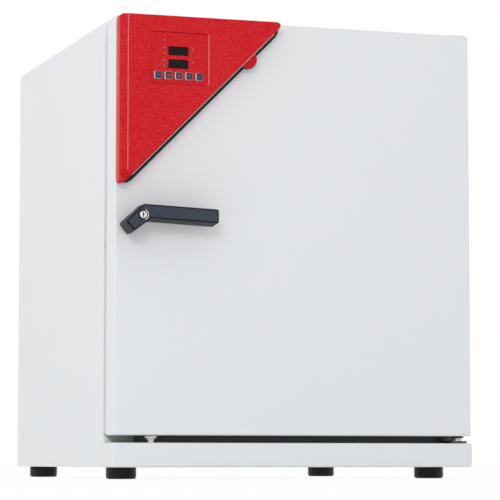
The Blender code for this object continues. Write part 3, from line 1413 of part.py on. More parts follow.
clear_scene()
guide_look = material("guide", (0.5, 0.5, 0.5), 0.5)
white = material("white_powder_coat", WHITE, 0.42)
frame_look = material("frame_grey", (0.07, 0.08, 0.09), 0.5)
steel_look = material("stainless_steel", STEEL, 0.3, 1.0)
chrome_look = material("chrome", (0.85, 0.85, 0.86), 0.12, 1.0)
brass_look = material("brass", (0.75, 0.58, 0.28), 0.3, 1.0)
wool_look = material("mineral_wool", (0.62, 0.58, 0.42), 0.95)
rubber_look = material("black_rubber", (0.025, 0.025, 0.026), 0.75)
dark_look = material("black_plastic", (0.02, 0.022, 0.025), 0.5)
red_look = material("red_plastic", RED, 0.45)
display_look = material("display_window", (0.01, 0.011, 0.008), 0.12)
lamp_look = material("lamp_lens", (0.24, 0.28, 0.22), 0.3)
key_look = material("key_plastic", (0.05, 0.06, 0.085), 0.4)
handle_look = material("anthracite_plastic", (0.055, 0.065, 0.09), 0.45)
glide_look = material("white_plastic", (0.75, 0.75, 0.73), 0.4)
board_look = material("circuit_board", (0.02, 0.10, 0.05), 0.5)
glass_look = material("clear_glass", (0.85, 0.92, 0.90), 0.05)
build()
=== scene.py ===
import math

import bmesh
import bpy
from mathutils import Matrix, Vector


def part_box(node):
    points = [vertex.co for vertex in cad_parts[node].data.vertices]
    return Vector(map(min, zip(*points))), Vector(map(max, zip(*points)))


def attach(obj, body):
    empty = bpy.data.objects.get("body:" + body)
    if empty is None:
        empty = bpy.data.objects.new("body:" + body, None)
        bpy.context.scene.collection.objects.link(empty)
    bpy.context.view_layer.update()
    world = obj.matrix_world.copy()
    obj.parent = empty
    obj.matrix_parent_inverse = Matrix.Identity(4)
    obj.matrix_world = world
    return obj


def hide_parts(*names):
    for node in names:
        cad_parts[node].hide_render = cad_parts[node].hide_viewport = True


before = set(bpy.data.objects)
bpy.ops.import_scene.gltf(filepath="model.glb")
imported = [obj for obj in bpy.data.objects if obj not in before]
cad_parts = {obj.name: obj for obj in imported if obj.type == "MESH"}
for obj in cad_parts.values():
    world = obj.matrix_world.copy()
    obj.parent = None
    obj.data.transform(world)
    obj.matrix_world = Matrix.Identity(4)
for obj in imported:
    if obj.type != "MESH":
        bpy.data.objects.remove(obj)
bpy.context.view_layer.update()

scene = bpy.context.scene
scene.view_settings.view_transform = "Standard"
mm = 0.001
clear = 0.0003    # gap between pieces that lie against each other
close = 0.0001    # two places no further apart than this count as one
near = 0.001      # the same, where edges are rounded
past = 0.004      # how far a cutting tool reaches beyond what it cuts
weld = 0.000004   # corners nearer than this are merged


# Camera at the photograph's viewpoint

cameraSetup = {
    "place": (-1.462, -4.40125, 0.035), "pitch": 4.95, "turn": -18.70,
    "lens": 174.0, "sensor": 36, "farthest": 60,
}

bpy.ops.object.camera_add(
    location=cameraSetup["place"],
    rotation=(math.radians(90 + cameraSetup["pitch"]), 0, math.radians(cameraSetup["turn"])),
)
camera = bpy.context.object
camera.name = "camera"
camera.data.sensor_width = cameraSetup["sensor"]
camera.data.lens = cameraSetup["lens"]
camera.data.clip_end = cameraSetup["farthest"]
scene.camera = camera
print("camera is in place")


# Shader sums: a wire is one socket, and takes part in plain expressions

class Wire:
    def __init__(self, nodes, socket):
        self.nodes = nodes
        self.socket = socket

    def __add__(self, other):
        return self.nodes.sum("ADD", self, other)

    def __radd__(self, other):
        return self.nodes.sum("ADD", other, self)

    def __sub__(self, other):
        return self.nodes.sum("SUBTRACT", self, other)

    def __rsub__(self, other):
        return self.nodes.sum("SUBTRACT", other, self)

    def __mul__(self, other):
        return self.nodes.sum("MULTIPLY", self, other)

    def __rmul__(self, other):
        return self.nodes.sum("MULTIPLY", other, self)


class Nodes:
    # adds nodes to one tree, of a material or of the world
    def __init__(self, tree):
        self.tree = tree

    def feed(self, socket, value):
        if isinstance(value, Wire):
            self.tree.links.new(value.socket, socket)
        elif socket.type == "RGBA":
            socket.default_value = (*value, 1.0)
        else:
            socket.default_value = value

    def node(self, kind, settings=None, sockets=None, out=0):
        made = self.tree.nodes.new(kind)
        for key, value in (settings or {}).items():
            setattr(made, key, value)
        for key, value in (sockets or {}).items():
            self.feed(made.inputs[key], value)
        return Wire(self, made.outputs[out])

    def sum(self, operation, first, second):
        return self.node("ShaderNodeMath", {"operation": operation}, {0: first, 1: second})

    def mixShader(self, factor, first, second):
        return self.node("ShaderNodeMixShader", None, {0: factor, 1: first, 2: second})

    def seenDirectly(self):
        # 1 for camera, mirror and glass rays, which see the plain white
        rays = ("Is Camera Ray", "Is Glossy Ray", "Is Transmission Ray")
        camera, mirror, glass = (self.node("ShaderNodeLightPath", out=ray) for ray in rays)
        return self.sum("MAXIMUM", self.sum("MAXIMUM", camera, mirror), glass)


class Finish(Nodes):
    # one material, with the few things that its surface needs
    inputs = {
        "colour": "Base Color", "rough": "Roughness", "metal": "Metallic", "normal": "Normal",
        "clear": "Transmission Weight", "ior": "IOR", "gloss": "Specular IOR Level",
    }

    def __init__(self, name):
        self.material = bpy.data.materials.new(name)
        self.material.use_nodes = True
        super().__init__(self.material.node_tree)
        self.shader = self.tree.nodes["Principled BSDF"]

    def set(self, **values):
        for key, value in values.items():
            self.feed(self.shader.inputs[self.inputs[key]], value)
        return self.material

    def step(self, value, low, high):
        # a soft step from 0 at low to 1 at high
        return self.node(
            "ShaderNodeMapRange", {"interpolation_type": "SMOOTHSTEP"},
            {"Value": value, "From Min": low, "From Max": high, "To Min": 0.0, "To Max": 1.0},
        )

    def place(self):
        return self.node("ShaderNodeTexCoord", out="Object")

    def noise(self, scale, detail=2.0, rough=0.5, stretch=None):
        where = self.place()
        if stretch:
            where = self.node("ShaderNodeMapping", None, {"Vector": where, "Scale": stretch})
        return self.node(
            "ShaderNodeTexNoise", None,
            {"Vector": where, "Scale": scale, "Detail": detail, "Roughness": rough},
        )

    def blend(self, factor, first, second):
        return self.node("ShaderNodeMix", {"data_type": "RGBA"}, {0: factor, 6: first, 7: second}, out=2)

    def edges(self, radius):
        # 1 along edges and corners, from how far a rounded normal leans off the true one
        soft = self.node("ShaderNodeBevel", {"samples": 4}, {"Radius": radius})
        true = self.node("ShaderNodeNewGeometry", out="Normal")
        alike = {"operation": "DOT_PRODUCT"}
        lean = self.node("ShaderNodeVectorMath", alike, {0: soft, 1: true}, out="Value")
        return self.step(1 - lean, 0.02, 0.25)

    def bump(self, height, strength, distance):
        return self.node(
            "ShaderNodeBump", None, {"Strength": strength, "Distance": distance, "Height": height},
        )


# Finishes, each with the grain and wear of the real thing; some are lighter or darker copies of another,
# which paint light or shade

def powderCoat(name, colour, worn, peelScale=900, rough=0.38):
    # orange peel of a baked powder coat, a little dulled along folded edges
    f = Finish(name)
    peel = f.noise(peelScale, 1.0)
    cloud = f.noise(7.0, 3.0)
    edge = f.edges(2.5 * mm)
    rub = f.noise(60.0, 4.0, 0.65)
    shade = f.blend(cloud * 0.5, colour, tuple(0.985 * c for c in colour))
    shade = f.blend(edge * f.step(rub, 0.50, 0.72) * 0.35, shade, worn)
    return f.set(
        colour=shade, rough=rough + 0.08 * cloud + 0.1 * edge, normal=f.bump(peel, 0.10, 0.0004),
    )


def mouldedPlastic(name, colour, worn, grain, rough, depth, gloss=0.2, speckle=0.3):
    # a fine spark-eroded grain, paler where hands and cloths have rubbed the edges
    f = Finish(name)
    fine = f.noise(grain, 2.0, 0.6)
    broad = f.noise(grain / 60, 3.0)
    mottle = f.noise(grain / 8, 3.0, 0.75)
    edge = f.edges(1.2 * mm)
    shade = f.blend(f.step(fine, 0.40, 0.75) * 0.18, colour, worn)
    shade = f.blend(f.step(mottle, 0.42, 0.68) * speckle, shade, worn)
    shade = f.blend(edge * f.step(broad, 0.35, 0.7) * 0.45, shade, worn)
    return f.set(
        colour=shade, rough=rough + 0.12 * broad - 0.08 * edge, gloss=gloss,
        normal=f.bump(fine, depth, 0.0005),
    )


def brushedSteel(name, colour, rough, stretch):
    # satin sheet: long fine scratches, clouded by wiping
    f = Finish(name)
    lines = f.noise(220.0, 2.0, 0.6, stretch)
    cloud = f.noise(9.0, 3.0)
    edge = f.edges(1.5 * mm)
    shade = f.blend(f.step(lines, 0.35, 0.7) * 0.3, colour, tuple(0.8 * c for c in colour))
    return f.set(
        colour=shade, metal=1.0, rough=rough + 0.12 * cloud + 0.08 * lines - 0.08 * edge,
        normal=f.bump(lines, 0.12, 0.0002),
    )


def polishedMetal(name, colour, rough):
    # bright, with smears and short scratches, and brighter still along its edges
    f = Finish(name)
    smear = f.noise(120.0, 3.0)
    scratch = f.noise(900.0, 1.0, 0.5, (1, 1, 0.05))
    shade = f.blend(f.edges(0.8 * mm) * 0.4, colour, tuple(min(1.0, 1.12 * c) for c in colour))
    return f.set(
        colour=shade, metal=1.0, rough=rough + 0.10 * smear, normal=f.bump(scratch, 0.05, 0.0001),
    )


def softRubber(name, colour, bloomed, rough, gloss=0.5):
    # matt, with a grey bloom in clouds and along its edges
    f = Finish(name)
    bloom = f.noise(140.0, 4.0, 0.6)
    grain = f.noise(1800.0, 1.0)
    edge = f.edges(1.5 * mm)
    shade = f.blend(f.step(bloom, 0.45, 0.8) * 0.5 + edge * 0.2, colour, bloomed)
    return f.set(colour=shade, rough=rough + 0.15 * bloom, normal=f.bump(grain, 0.12, 0.0003), gloss=gloss)


def mineralWool(name, dark, pale):
    # matted fibres, drawn out along the sheet
    f = Finish(name)
    fibre = f.noise(160.0, 6.0, 0.75, (1, 4, 1))
    shade = f.blend(f.step(fibre, 0.3, 0.7), dark, pale)
    return f.set(colour=shade, rough=0.95, normal=f.bump(fibre, 0.8, 0.002))


def circuitBoard(name, lacquer, lacquerPale, track):
    # green lacquer over rows of tracks
    f = Finish(name)
    tracks = f.node("ShaderNodeTexBrick", {"offset": 0.3}, {
        "Vector": f.place(), "Scale": 90.0, "Mortar Size": 0.03,
        "Color1": lacquer, "Color2": lacquerPale, "Mortar": track,
    })
    speck = f.noise(700.0, 2.0)
    return f.set(colour=tracks, rough=0.42 + 0.15 * speck, normal=f.bump(speck, 0.1, 0.0002))


def clearGlass(name, colour, edgeGreen):
    # clear, with wiping marks and green cut edges
    f = Finish(name)
    smear = f.noise(12.0, 4.0)
    edge = f.edges(3 * mm)
    shade = f.blend(edge, colour, edgeGreen)
    return f.set(colour=shade, rough=0.02 + 0.05 * f.step(smear, 0.5, 0.8), clear=1.0, ior=1.5)


def smokedPlastic(name, colour, wiped):
    # dark and glossy, with a trace of wiping
    f = Finish(name)
    smear = f.noise(180.0, 3.0)
    shade = f.blend(f.step(smear, 0.4, 0.8), colour, wiped)
    return f.set(colour=shade, rough=0.10 + 0.12 * smear, gloss=0.08)


def hazyLens(name, dark, pale):
    # unlit light guide, frosted at its end
    f = Finish(name)
    haze = f.noise(900.0, 2.0)
    shade = f.blend(haze, dark, pale)
    return f.set(colour=shade, rough=0.18 + 0.2 * haze, normal=f.bump(haze, 0.1, 0.0002))


finishTables = {
    powderCoat: {  # colour, colour where worn
        "housingWhite": ((0.790, 0.812, 0.832), (0.74, 0.75, 0.75)),
        "frameGrey": ((0.082, 0.096, 0.110), (0.15, 0.16, 0.17)),
    },
    mouldedPlastic: {  # colour, colour where worn, grain, roughness, depth of grain, gloss, speckle
        "coverRed": ((0.600, 0.003, 0.011), (0.72, 0.050, 0.058), 2600, 0.46, 0.35, 0.12, 0.55),
        # lighter red for the cover's left side face: painted highlight
        "coverLitSideRed": ((0.600, 0.070, 0.045), (0.66, 0.12, 0.09), 2600, 0.40, 0.25, 0.2),
        # pale red for the step line and the opening's right wall: painted highlight
        "coverHighlightRed": ((0.740, 0.175, 0.175), (0.80, 0.26, 0.26), 2600, 0.40, 0.20, 0.2),
        # dark red for the walls of the bezel opening: painted shade
        "coverShadeRed": ((0.330, 0.002, 0.006), (0.40, 0.010, 0.014), 2600, 0.46, 0.25, 0.1),
        "discRed": ((0.520, 0.004, 0.012), (0.64, 0.030, 0.030), 2600, 0.42, 0.25, 0.12),
        "handleGrey": ((0.035, 0.044, 0.061), (0.076, 0.090, 0.115), 1700, 0.42, 0.30, 0.2, 0.5),
        # near black for the rounded rim of the lever's face: painted shade
        "handleShadedRim": ((0.007, 0.009, 0.013), (0.016, 0.019, 0.025), 1700, 0.46, 0.30, 0.12),
        # darker grey for the lever's sides and underside: painted shade
        "handleShadedSide": ((0.026, 0.030, 0.031), (0.050, 0.056, 0.058), 1700, 0.50, 0.30, 0.15),
        "blackPlastic": ((0.012, 0.013, 0.015), (0.05, 0.05, 0.055), 1800, 0.50, 0.25, 0.2),
        "keyPlastic": ((0.030, 0.042, 0.056), (0.09, 0.12, 0.15), 2200, 0.34, 0.2),
        "whitePlastic": ((0.93, 0.93, 0.92), (0.95, 0.95, 0.94), 1500, 0.38, 0.15),
        # grey-green of the frame lip: the white return flange painted in shade
        "lipShadeGrey": ((0.34, 0.39, 0.36), (0.40, 0.45, 0.42), 1500, 0.6, 0.2, 0.1),
        # black for the keyway and the well round the lock: painted shade
        "recessShadeBlack": ((0.006, 0.006, 0.007), (0.02, 0.02, 0.02), 1500, 0.6, 0.1, 0.05),
        # pale grey of the bead along the cover's slanting side: painted highlight
        "beadHighlightGrey": ((0.50, 0.50, 0.49), (0.62, 0.62, 0.60), 1500, 0.5, 0.1),
        # pale key body, which shows only as a strip on the left: painted highlight
        "keyBody": ((0.56, 0.60, 0.62), (0.66, 0.70, 0.72), 2200, 0.30, 0.1),
        "keyMarkRed": ((0.62, 0.02, 0.02), (0.70, 0.10, 0.08), 2400, 0.40, 0.1),
        "keyMarkDim": ((0.11, 0.13, 0.17), (0.16, 0.18, 0.22), 2400, 0.40, 0.1),
    },
    brushedSteel: {  # colour, roughness, stretch of the scratches
        "chamberSteel": ((0.66, 0.66, 0.655), 0.24, (1, 0.04, 1)),
        "jacketSteel": ((0.60, 0.60, 0.60), 0.34, (1, 0.05, 1)),
        "hingeSteel": ((0.56, 0.57, 0.58), 0.30, (0.06, 1, 1)),
    },
    polishedMetal: {  # colour, roughness
        "chrome": ((0.82, 0.82, 0.83), 0.08),
        "satinChrome": ((0.78, 0.75, 0.74), 0.26),
        "brass": ((0.76, 0.58, 0.28), 0.20),
        "darkSteel": ((0.10, 0.11, 0.12), 0.34),
        "zinc": ((0.66, 0.67, 0.68), 0.28),
    },
    softRubber: {  # colour, colour of the bloom, roughness, gloss
        "blackRubber": ((0.0055, 0.0050, 0.0045), (0.016, 0.015, 0.014), 0.30, 0.20),
        "sealRubber": ((0.045, 0.047, 0.050), (0.080, 0.082, 0.085), 0.60),
    },
    mineralWool: {"mineralWool": ((0.50, 0.45, 0.28), (0.70, 0.66, 0.48))},
    circuitBoard: {"circuitBoard": ((0.012, 0.09, 0.045), (0.014, 0.11, 0.05), (0.03, 0.17, 0.08))},
    clearGlass: {"clearGlass": ((0.97, 0.985, 0.98), (0.55, 0.78, 0.70))},
    smokedPlastic: {"smokedWindow": ((0.009, 0.010, 0.008), (0.016, 0.018, 0.014))},
    hazyLens: {"lampLens": ((0.14, 0.17, 0.13), (0.22, 0.26, 0.20))},
}
finishes = {}
for kind, table in finishTables.items():
    for name, values in table.items():
        finishes[name] = kind(name, *values)

nodeFinishes = {
    "housingWhite": (
        "outer_housing", "rear_cover", "lower_front_panel", "door_skin", "upper_hinge_bracket",
        "latch_keeper",
    ),
    "frameGrey": ("front_frame",),
    "chamberSteel": (
        "inner_chamber", "door_inner_panel", "lower_shelf", "middle_shelf", "upper_shelf", "water_pan",
    ),
    "jacketSteel": ("base_pan", "air_jacket", "power_supply", "temperature_sensor"),
    "hingeSteel": (
        "latch_shaft", "latch_hook", "upper_glass_hinge_post", "lower_glass_hinge_post", "glass_strike",
    ),
    "darkSteel": ("lower_hinge_bracket",),
    "chrome": ("lock_cylinder", "upper_glass_hinge", "lower_glass_hinge"),
    "brass": ("gas_inlet",),
    "coverRed": ("control_cover", "control_bezel"),
    "discRed": ("main_switch",),
    "handleGrey": ("door_lever",),
    "blackPlastic": (
        "control_base", "handle_rose", "power_inlet", "gas_sensor_head", "glass_catch",
        "lower_hinge_bush", "upper_hinge_bush",
    ),
    "keyPlastic": ("key_1", "key_2", "key_3", "key_4", "key_5"),
    "whitePlastic": ("door_rest",),
    "blackRubber": ("foot_front_left", "foot_front_right", "foot_rear_left", "foot_rear_right"),
    "sealRubber": ("door_gasket", "chamber_gasket"),
    "mineralWool": ("cabinet_insulation", "door_insulation"),
    "circuitBoard": ("control_board", "jacket_heater"),
    "clearGlass": ("glass_pane",),
    "smokedWindow": ("upper_display", "lower_display"),
    "lampLens": ("left_lamps", "right_lamps"),
}

for finish, names in nodeFinishes.items():
    for name in names:
        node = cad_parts[name]
        node.data.materials.clear()
        node.data.materials.append(finishes[finish])
print("finishes are on the CAD nodes")


# Modelling by hand: small helpers around Blender's own tools

def leave():
    if bpy.context.object and bpy.context.object.mode != "OBJECT":
        bpy.ops.object.mode_set(mode="OBJECT")


def restart():
    leave()
    bpy.ops.object.select_all(action="DESELECT")


def only(obj):
    restart()
    bpy.context.view_layer.objects.active = obj
    obj.select_set(True)


def edit(obj):
    only(obj)
    bpy.ops.object.mode_set(mode="EDIT")


def applyPlace():
    bpy.ops.object.transform_apply(location=True, rotation=True, scale=True)


def selectAll():
    bpy.ops.mesh.select_all(action="SELECT")


def editedShape(kind):
    # the mesh in edit mode, with nothing selected
    bpy.ops.mesh.select_mode(type=kind)
    bpy.ops.mesh.select_all(action="DESELECT")
    shape = bmesh.from_edit_mesh(bpy.context.edit_object.data)
    shape.normal_update()
    return shape


def pick(kind, test):
    # selects faces by (middle, normal), edges by (middle, direction) or corners by (place)
    shape = editedShape(kind)
    if kind == "FACE":
        for face in shape.faces:
            if test(face.calc_center_median(), face.normal):
                face.select_set(True)
    elif kind == "EDGE":
        for edge in shape.edges:
            first, second = (v.co for v in edge.verts)
            if test((first + second) / 2, (second - first).normalized()):
                edge.select_set(True)
    else:
        for corner in shape.verts:
            if test(corner.co):
                corner.select_set(True)
    bmesh.update_edit_mesh(bpy.context.edit_object.data)


def pickBetween(first, second):
    # selects the edges that have one face of each sort
    shape = editedShape("EDGE")
    for edge in shape.edges:
        if len(edge.link_faces) == 2:
            sides = [(face.calc_center_median(), face.normal) for face in edge.link_faces]
            if any(first(*a) and second(*b) for a, b in (sides, sides[::-1])):
                edge.select_set(True)
    bmesh.update_edit_mesh(bpy.context.edit_object.data)


def facing(*way):
    return lambda m, n: n.dot(Vector(way)) > 0.85


facesFront, facesBack = facing(0, -1, 0), facing(0, 1, 0)
facesUp, facesDown = facing(0, 0, 1), facing(0, 0, -1)


def facesAside(m, n):
    return abs(n.y) < 0.3


def facesLevel(m, n):
    return abs(n.z) < 0.3


def capFront(m, n):
    return n.y < -0.995


def runsBack(m, d):
    return abs(d.y) > 0.9


def bevel(width, steps, affect="EDGES"):
    bpy.ops.mesh.bevel(offset=width, segments=steps, affect=affect, clamp_overlap=True)


def roundCorners(width, steps):
    # along the edges that run from front to back
    pick("EDGE", runsBack)
    bevel(width, steps)


def roundRim(width, steps, cap=facesFront, side=facesAside):
    # along the edges between a cap and the sides
    pickBetween(cap, side)
    bevel(width, steps)


def inset(*rings, cap=capFront):
    # draws a cap in by rings of (thickness, depth)
    pick("FACE", cap)
    for thickness, depth in rings:
        bpy.ops.mesh.inset(thickness=thickness, depth=depth)


def extrude(x=0.0, y=0.0, z=0.0):
    bpy.ops.mesh.extrude_region_move(TRANSFORM_OT_translate={"value": (x, y, z)})


def swell(width):
    # draws the selected faces out along their normals, or sinks them
    bpy.ops.mesh.extrude_region_shrink_fatten(TRANSFORM_OT_shrink_fatten={"value": width})


def move(x=0.0, y=0.0, z=0.0):
    bpy.ops.transform.translate(value=(x, y, z))


def cutOffSlant(place):
    # takes away what lies below and to the right of a plane through a place
    selectAll()
    bpy.ops.mesh.bisect(plane_co=place, plane_no=(1, 0, -1), clear_outer=True, use_fill=True)


def settle(obj, name, finish, body, smooth=35):
    # names the finished piece, gives it its finish and hands it to its body
    only(obj)
    applyPlace()
    edit(obj)
    selectAll()
    bpy.ops.mesh.remove_doubles(threshold=weld)
    bpy.ops.mesh.normals_make_consistent(inside=False)
    leave()
    bpy.ops.object.shade_smooth_by_angle(angle=math.radians(smooth))
    obj.name = name
    obj.data.name = name
    obj.data.materials.clear()
    obj.data.materials.append(finishes[finish])
    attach(obj, body)
    restart()


def accent(obj, finish, test):
    # gives some faces of a finished piece a second finish
    obj.data.materials.append(finishes[finish])
    edit(obj)
    obj.active_material_index = len(obj.data.materials) - 1
    pick("FACE", test)
    bpy.ops.object.material_slot_assign()
    restart()


def slab(low, high, corner=0, steps=1):
    # a block between two places, in edit mode, as the start of a piece
    restart()
    centre = [(a + b) / 2 for a, b in zip(low, high)]
    bpy.ops.mesh.primitive_cube_add(size=1, location=centre)
    obj = bpy.context.object
    obj.dimensions = [b - a for a, b in zip(low, high)]
    applyPlace()
    edit(obj)
    if corner:
        roundCorners(corner, steps)
    return obj


def drum(radius, low, high, place, sides, axis="Y"):
    # a short cylinder along an axis, in edit mode, as the start of a turned piece
    restart()
    x, y, z = place
    middle = (low + high) / 2
    where, turn = ((x, middle, z), math.radians(90)) if axis == "Y" else ((x, y, middle), 0)
    bpy.ops.mesh.primitive_cylinder_add(
        vertices=sides, radius=radius, depth=high - low, location=where, rotation=(turn, 0, 0),
    )
    applyPlace()
    edit(bpy.context.object)
    return bpy.context.object


def carve(obj, tool, operation="DIFFERENCE"):
    # cuts the tool out of a piece, or joins it on, and removes the tool
    only(obj)
    cut = obj.modifiers.new("carve", "BOOLEAN")
    cut.operation = operation
    cut.object = tool
    cut.solver = "EXACT"
    bpy.ops.object.modifier_apply(modifier=cut.name)
    bpy.data.objects.remove(tool)


def copyOf(obj, name, shift, body):
    # a copy with its own mesh, moved by a distance
    restart()
    twin = obj.copy()
    twin.data = obj.data.copy()
    scene.collection.objects.link(twin)
    twin.parent = None
    only(twin)
    twin.location = shift
    applyPlace()
    twin.name = name
    twin.data.name = name
    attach(twin, body)
    restart()
    return twin


# The door: what sits on it is measured in metres from its upper left corner

door = {"left": -0.338, "top": 0.815}


def onDoor(x, y, drop):
    return door["left"] + x, y, door["top"] - drop


# Red control cover with its stepped left band and rounded rim

cover = {
    "leg": 0.309, "front": -0.37025, "back": -0.34885,
    "face": 0.0065, "wall": 0.0025, "tipWall": 0.0035, "reach": 0.01,
    "band": 0.0152, "bandDrop": 0.0018, "bandLean": 5.0, "bandSlope": 0.0011,
    "rim": 0.0040, "cornerCut": 0.011, "tipCut": 0.0193, "openingRim": 0.0014,
    "recessPlay": 0.002, "spindleHole": 0.0056, "litLine": 0.003, "litRim": 0.002, "litDeep": 0.0006,
}


def makeCover():
    left, top, leg = door["left"], door["top"], cover["leg"]
    field, low, back = cover["front"], cover["front"] + cover["bandDrop"], cover["back"]
    obj = slab(onDoor(0, low, leg), onDoor(leg, back, 0))
    # the lower right corner goes: what is left is the triangle
    cutOffSlant(onDoor(leg / 2, 0, leg / 2))
    pick("EDGE", lambda m, d: runsBack(m, d) and m.x < left + near and m.z > top - near)
    bevel(cover["cornerCut"], 6)
    pick("EDGE", lambda m, d: runsBack(m, d) and (m.x > left + leg - near or m.z < top - leg + near))
    bevel(cover["tipCut"], 8)
    # the band along the left side leans back from a line
    band = left + cover["band"]
    selectAll()
    bpy.ops.mesh.bisect(plane_co=(band, 0, 0), plane_no=(1, 0, 0))
    pick("VERT", lambda p: p.y < low + close and p.x < band - close)
    bpy.ops.transform.rotate(
        value=math.radians(cover["bandLean"]), orient_axis="Z", center_override=(band, low, 0),
    )
    roundRim(cover["rim"], 4)
    # the field stands proud of the band, with a slope along the line
    pick("FACE", lambda m, n: n.y < -0.05 and m.x > band)
    extrude(y=-cover["bandDrop"])
    pick("VERT", lambda p: abs(p.x - band) < close and p.y < low - close)
    move(x=cover["bandSlope"])

    x0, x1, drop0, drop1 = bezel["opening"]
    reach = cover["reach"]
    carve(obj, slab(onDoor(x0, field - reach, drop1), onDoor(x1, back - clear, drop0), bezel["corner"], 4))
    wall = cover["wall"]
    hollow = slab(onDoor(wall, field + cover["face"], leg), onDoor(leg, back + reach, wall))
    inward = wall * math.sqrt(2) / 2
    cutOffSlant(onDoor(leg / 2 - inward, 0, leg / 2 - inward))
    roundCorners(cover["tipCut"] - cover["tipWall"], 5)
    carve(obj, hollow)
    centre, recess = disc["centre"], disc["radius"] + cover["recessPlay"]
    carve(obj, drum(recess, disc["front"] - clear, disc["back"] + clear, centre, 40))
    carve(obj, drum(cover["spindleHole"], disc["back"], back + reach / 2, centre, 20))

    def inOpening(m, margin):
        return (left + x0 - margin < m.x < left + x1 + margin
                and top - drop1 - margin < m.z < top - drop0 + margin)

    # a lit edge round the opening for the bezel
    edit(obj)
    roundRim(cover["openingRim"], 2, side=lambda m, n: facesAside(m, n) and inOpening(m, near))
    settle(obj, "controlCover", "coverRed", "door", 32)
    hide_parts("control_cover")
    footTop, litRim = top - leg + coverFoot["place"][1], cover["litRim"]
    # the left side face gets a lighter red: painted highlight where the light falls
    accent(obj, "coverLitSideRed", lambda m, n: n.x < -0.8 and m.x < left + near)
    # the step along the band and the right wall of the opening get a pale red: painted highlight
    accent(obj, "coverHighlightRed", lambda m, n: n.x < -0.3 and m.y < low + cover["litDeep"] and (
        abs(m.x - band) < cover["litLine"] and m.z > footTop or abs(m.x - left - x1) < litRim))
    # the other walls of the opening get a dark red: painted shade in the recess
    accent(obj, "coverShadeRed", lambda m, n: inOpening(m, litRim) and m.x < left + x1 - litRim
           and m.y < bezel["front"] and n.y > -0.9)


coverFoot = {
    "place": (0.0112, 0.0252), "radius": 0.0078, "proud": 0.0003, "deep": 0.0062,
    "rim": 0.0016, "dish": (0.0030, -0.0003),
}


def makeCoverFoot():
    # the line ends in a round foot at the tip
    x, up = coverFoot["place"]
    front, back = cover["front"] - coverFoot["proud"], cover["front"] + coverFoot["deep"]
    foot = drum(coverFoot["radius"], front, back, onDoor(x, 0, cover["leg"] - up), 40)
    roundRim(coverFoot["rim"], 4)
    inset(coverFoot["dish"])
    settle(foot, "coverFoot", "discRed", "door")


bezel = {
    "opening": (0.057, 0.163, 0.030, 0.122), "corner": 0.005, "front": -0.36825, "back": -0.36575,
    "border": (0.0024, 0.0), "step": (0.0006, -0.0006), "inner": 0.004, "innerRim": 0.00025,
    "windows": ((0.0547, 0.0707), (0.0779, 0.0939)), "windowX": (0.0897, 0.1267),
    "lampRadius": 0.0015,
    "lamps": ((0.0822, (0.0445, 0.058, 0.0676, 0.0813, 0.0911)), (0.1343, (0.0585, 0.0819))),
}


def makeBezel():
    # recessed plate with its windows, key openings and lamp holes
    x0, x1, drop0, drop1 = bezel["opening"]
    low = onDoor(x0 + clear, bezel["front"], drop1 - clear)
    obj = slab(low, onDoor(x1 - clear, bezel["back"], drop0 + clear), bezel["corner"], 4)
    inset(bezel["border"], bezel["step"])
    first, last = bezel["front"] - past, bezel["back"] + past
    low, high = bezel["windowX"]
    for upper, lower in bezel["windows"]:
        carve(obj, slab(onDoor(low, first, lower), onDoor(high, last, upper)))
    reach = keys["size"] / 2 + clear
    for x, z in keyCentres():
        carve(obj, slab((x - reach, first, z - reach), (x + reach, last, z + reach)))
    for column, drops in bezel["lamps"]:
        for drop in drops:
            carve(obj, drum(bezel["lampRadius"] + clear, first, last, onDoor(column, 0, drop), 16))
    edit(obj)
    low, high = door["left"] + x0 + bezel["inner"], door["left"] + x1 - bezel["inner"]
    roundRim(bezel["innerRim"], 1, side=lambda m, n: facesAside(m, n) and low < m.x < high)
    settle(obj, "controlBezel", "coverRed", "door", 30)
    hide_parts("control_bezel")


keys = {
    "size": 0.0133, "pitch": 0.019, "middle": 0.1081, "drop": 0.1071,
    "front": -0.37065, "back": -0.36275, "corner": 0.0018, "rim": 0.0007, "dish": (0.0006, -0.0003),
    "litStrip": 0.0013, "inlayProud": 0.00008, "inlayDeep": 0.0016, "inlayCorner": 0.0014, "inlayRim": 0.0004,
    "inlayDish": (0.0006, -0.00015), "markProud": 0.00002, "markDeep": 0.0004,
    "arrow": 0.0034, "arrowCorner": 0.0004, "bar": (0.0030, 0.0008), "barCorner": 0.0006,
    "bodies": ("first_key", "second_key", "third_key", "fourth_key", "fifth_key"),
    "arrowTurns": {1: 180, 2: 0},
}


def keyCentres():
    x, _, z = onDoor(keys["middle"], 0, keys["drop"])
    return [(x + (i - 2) * keys["pitch"], z) for i in range(5)]


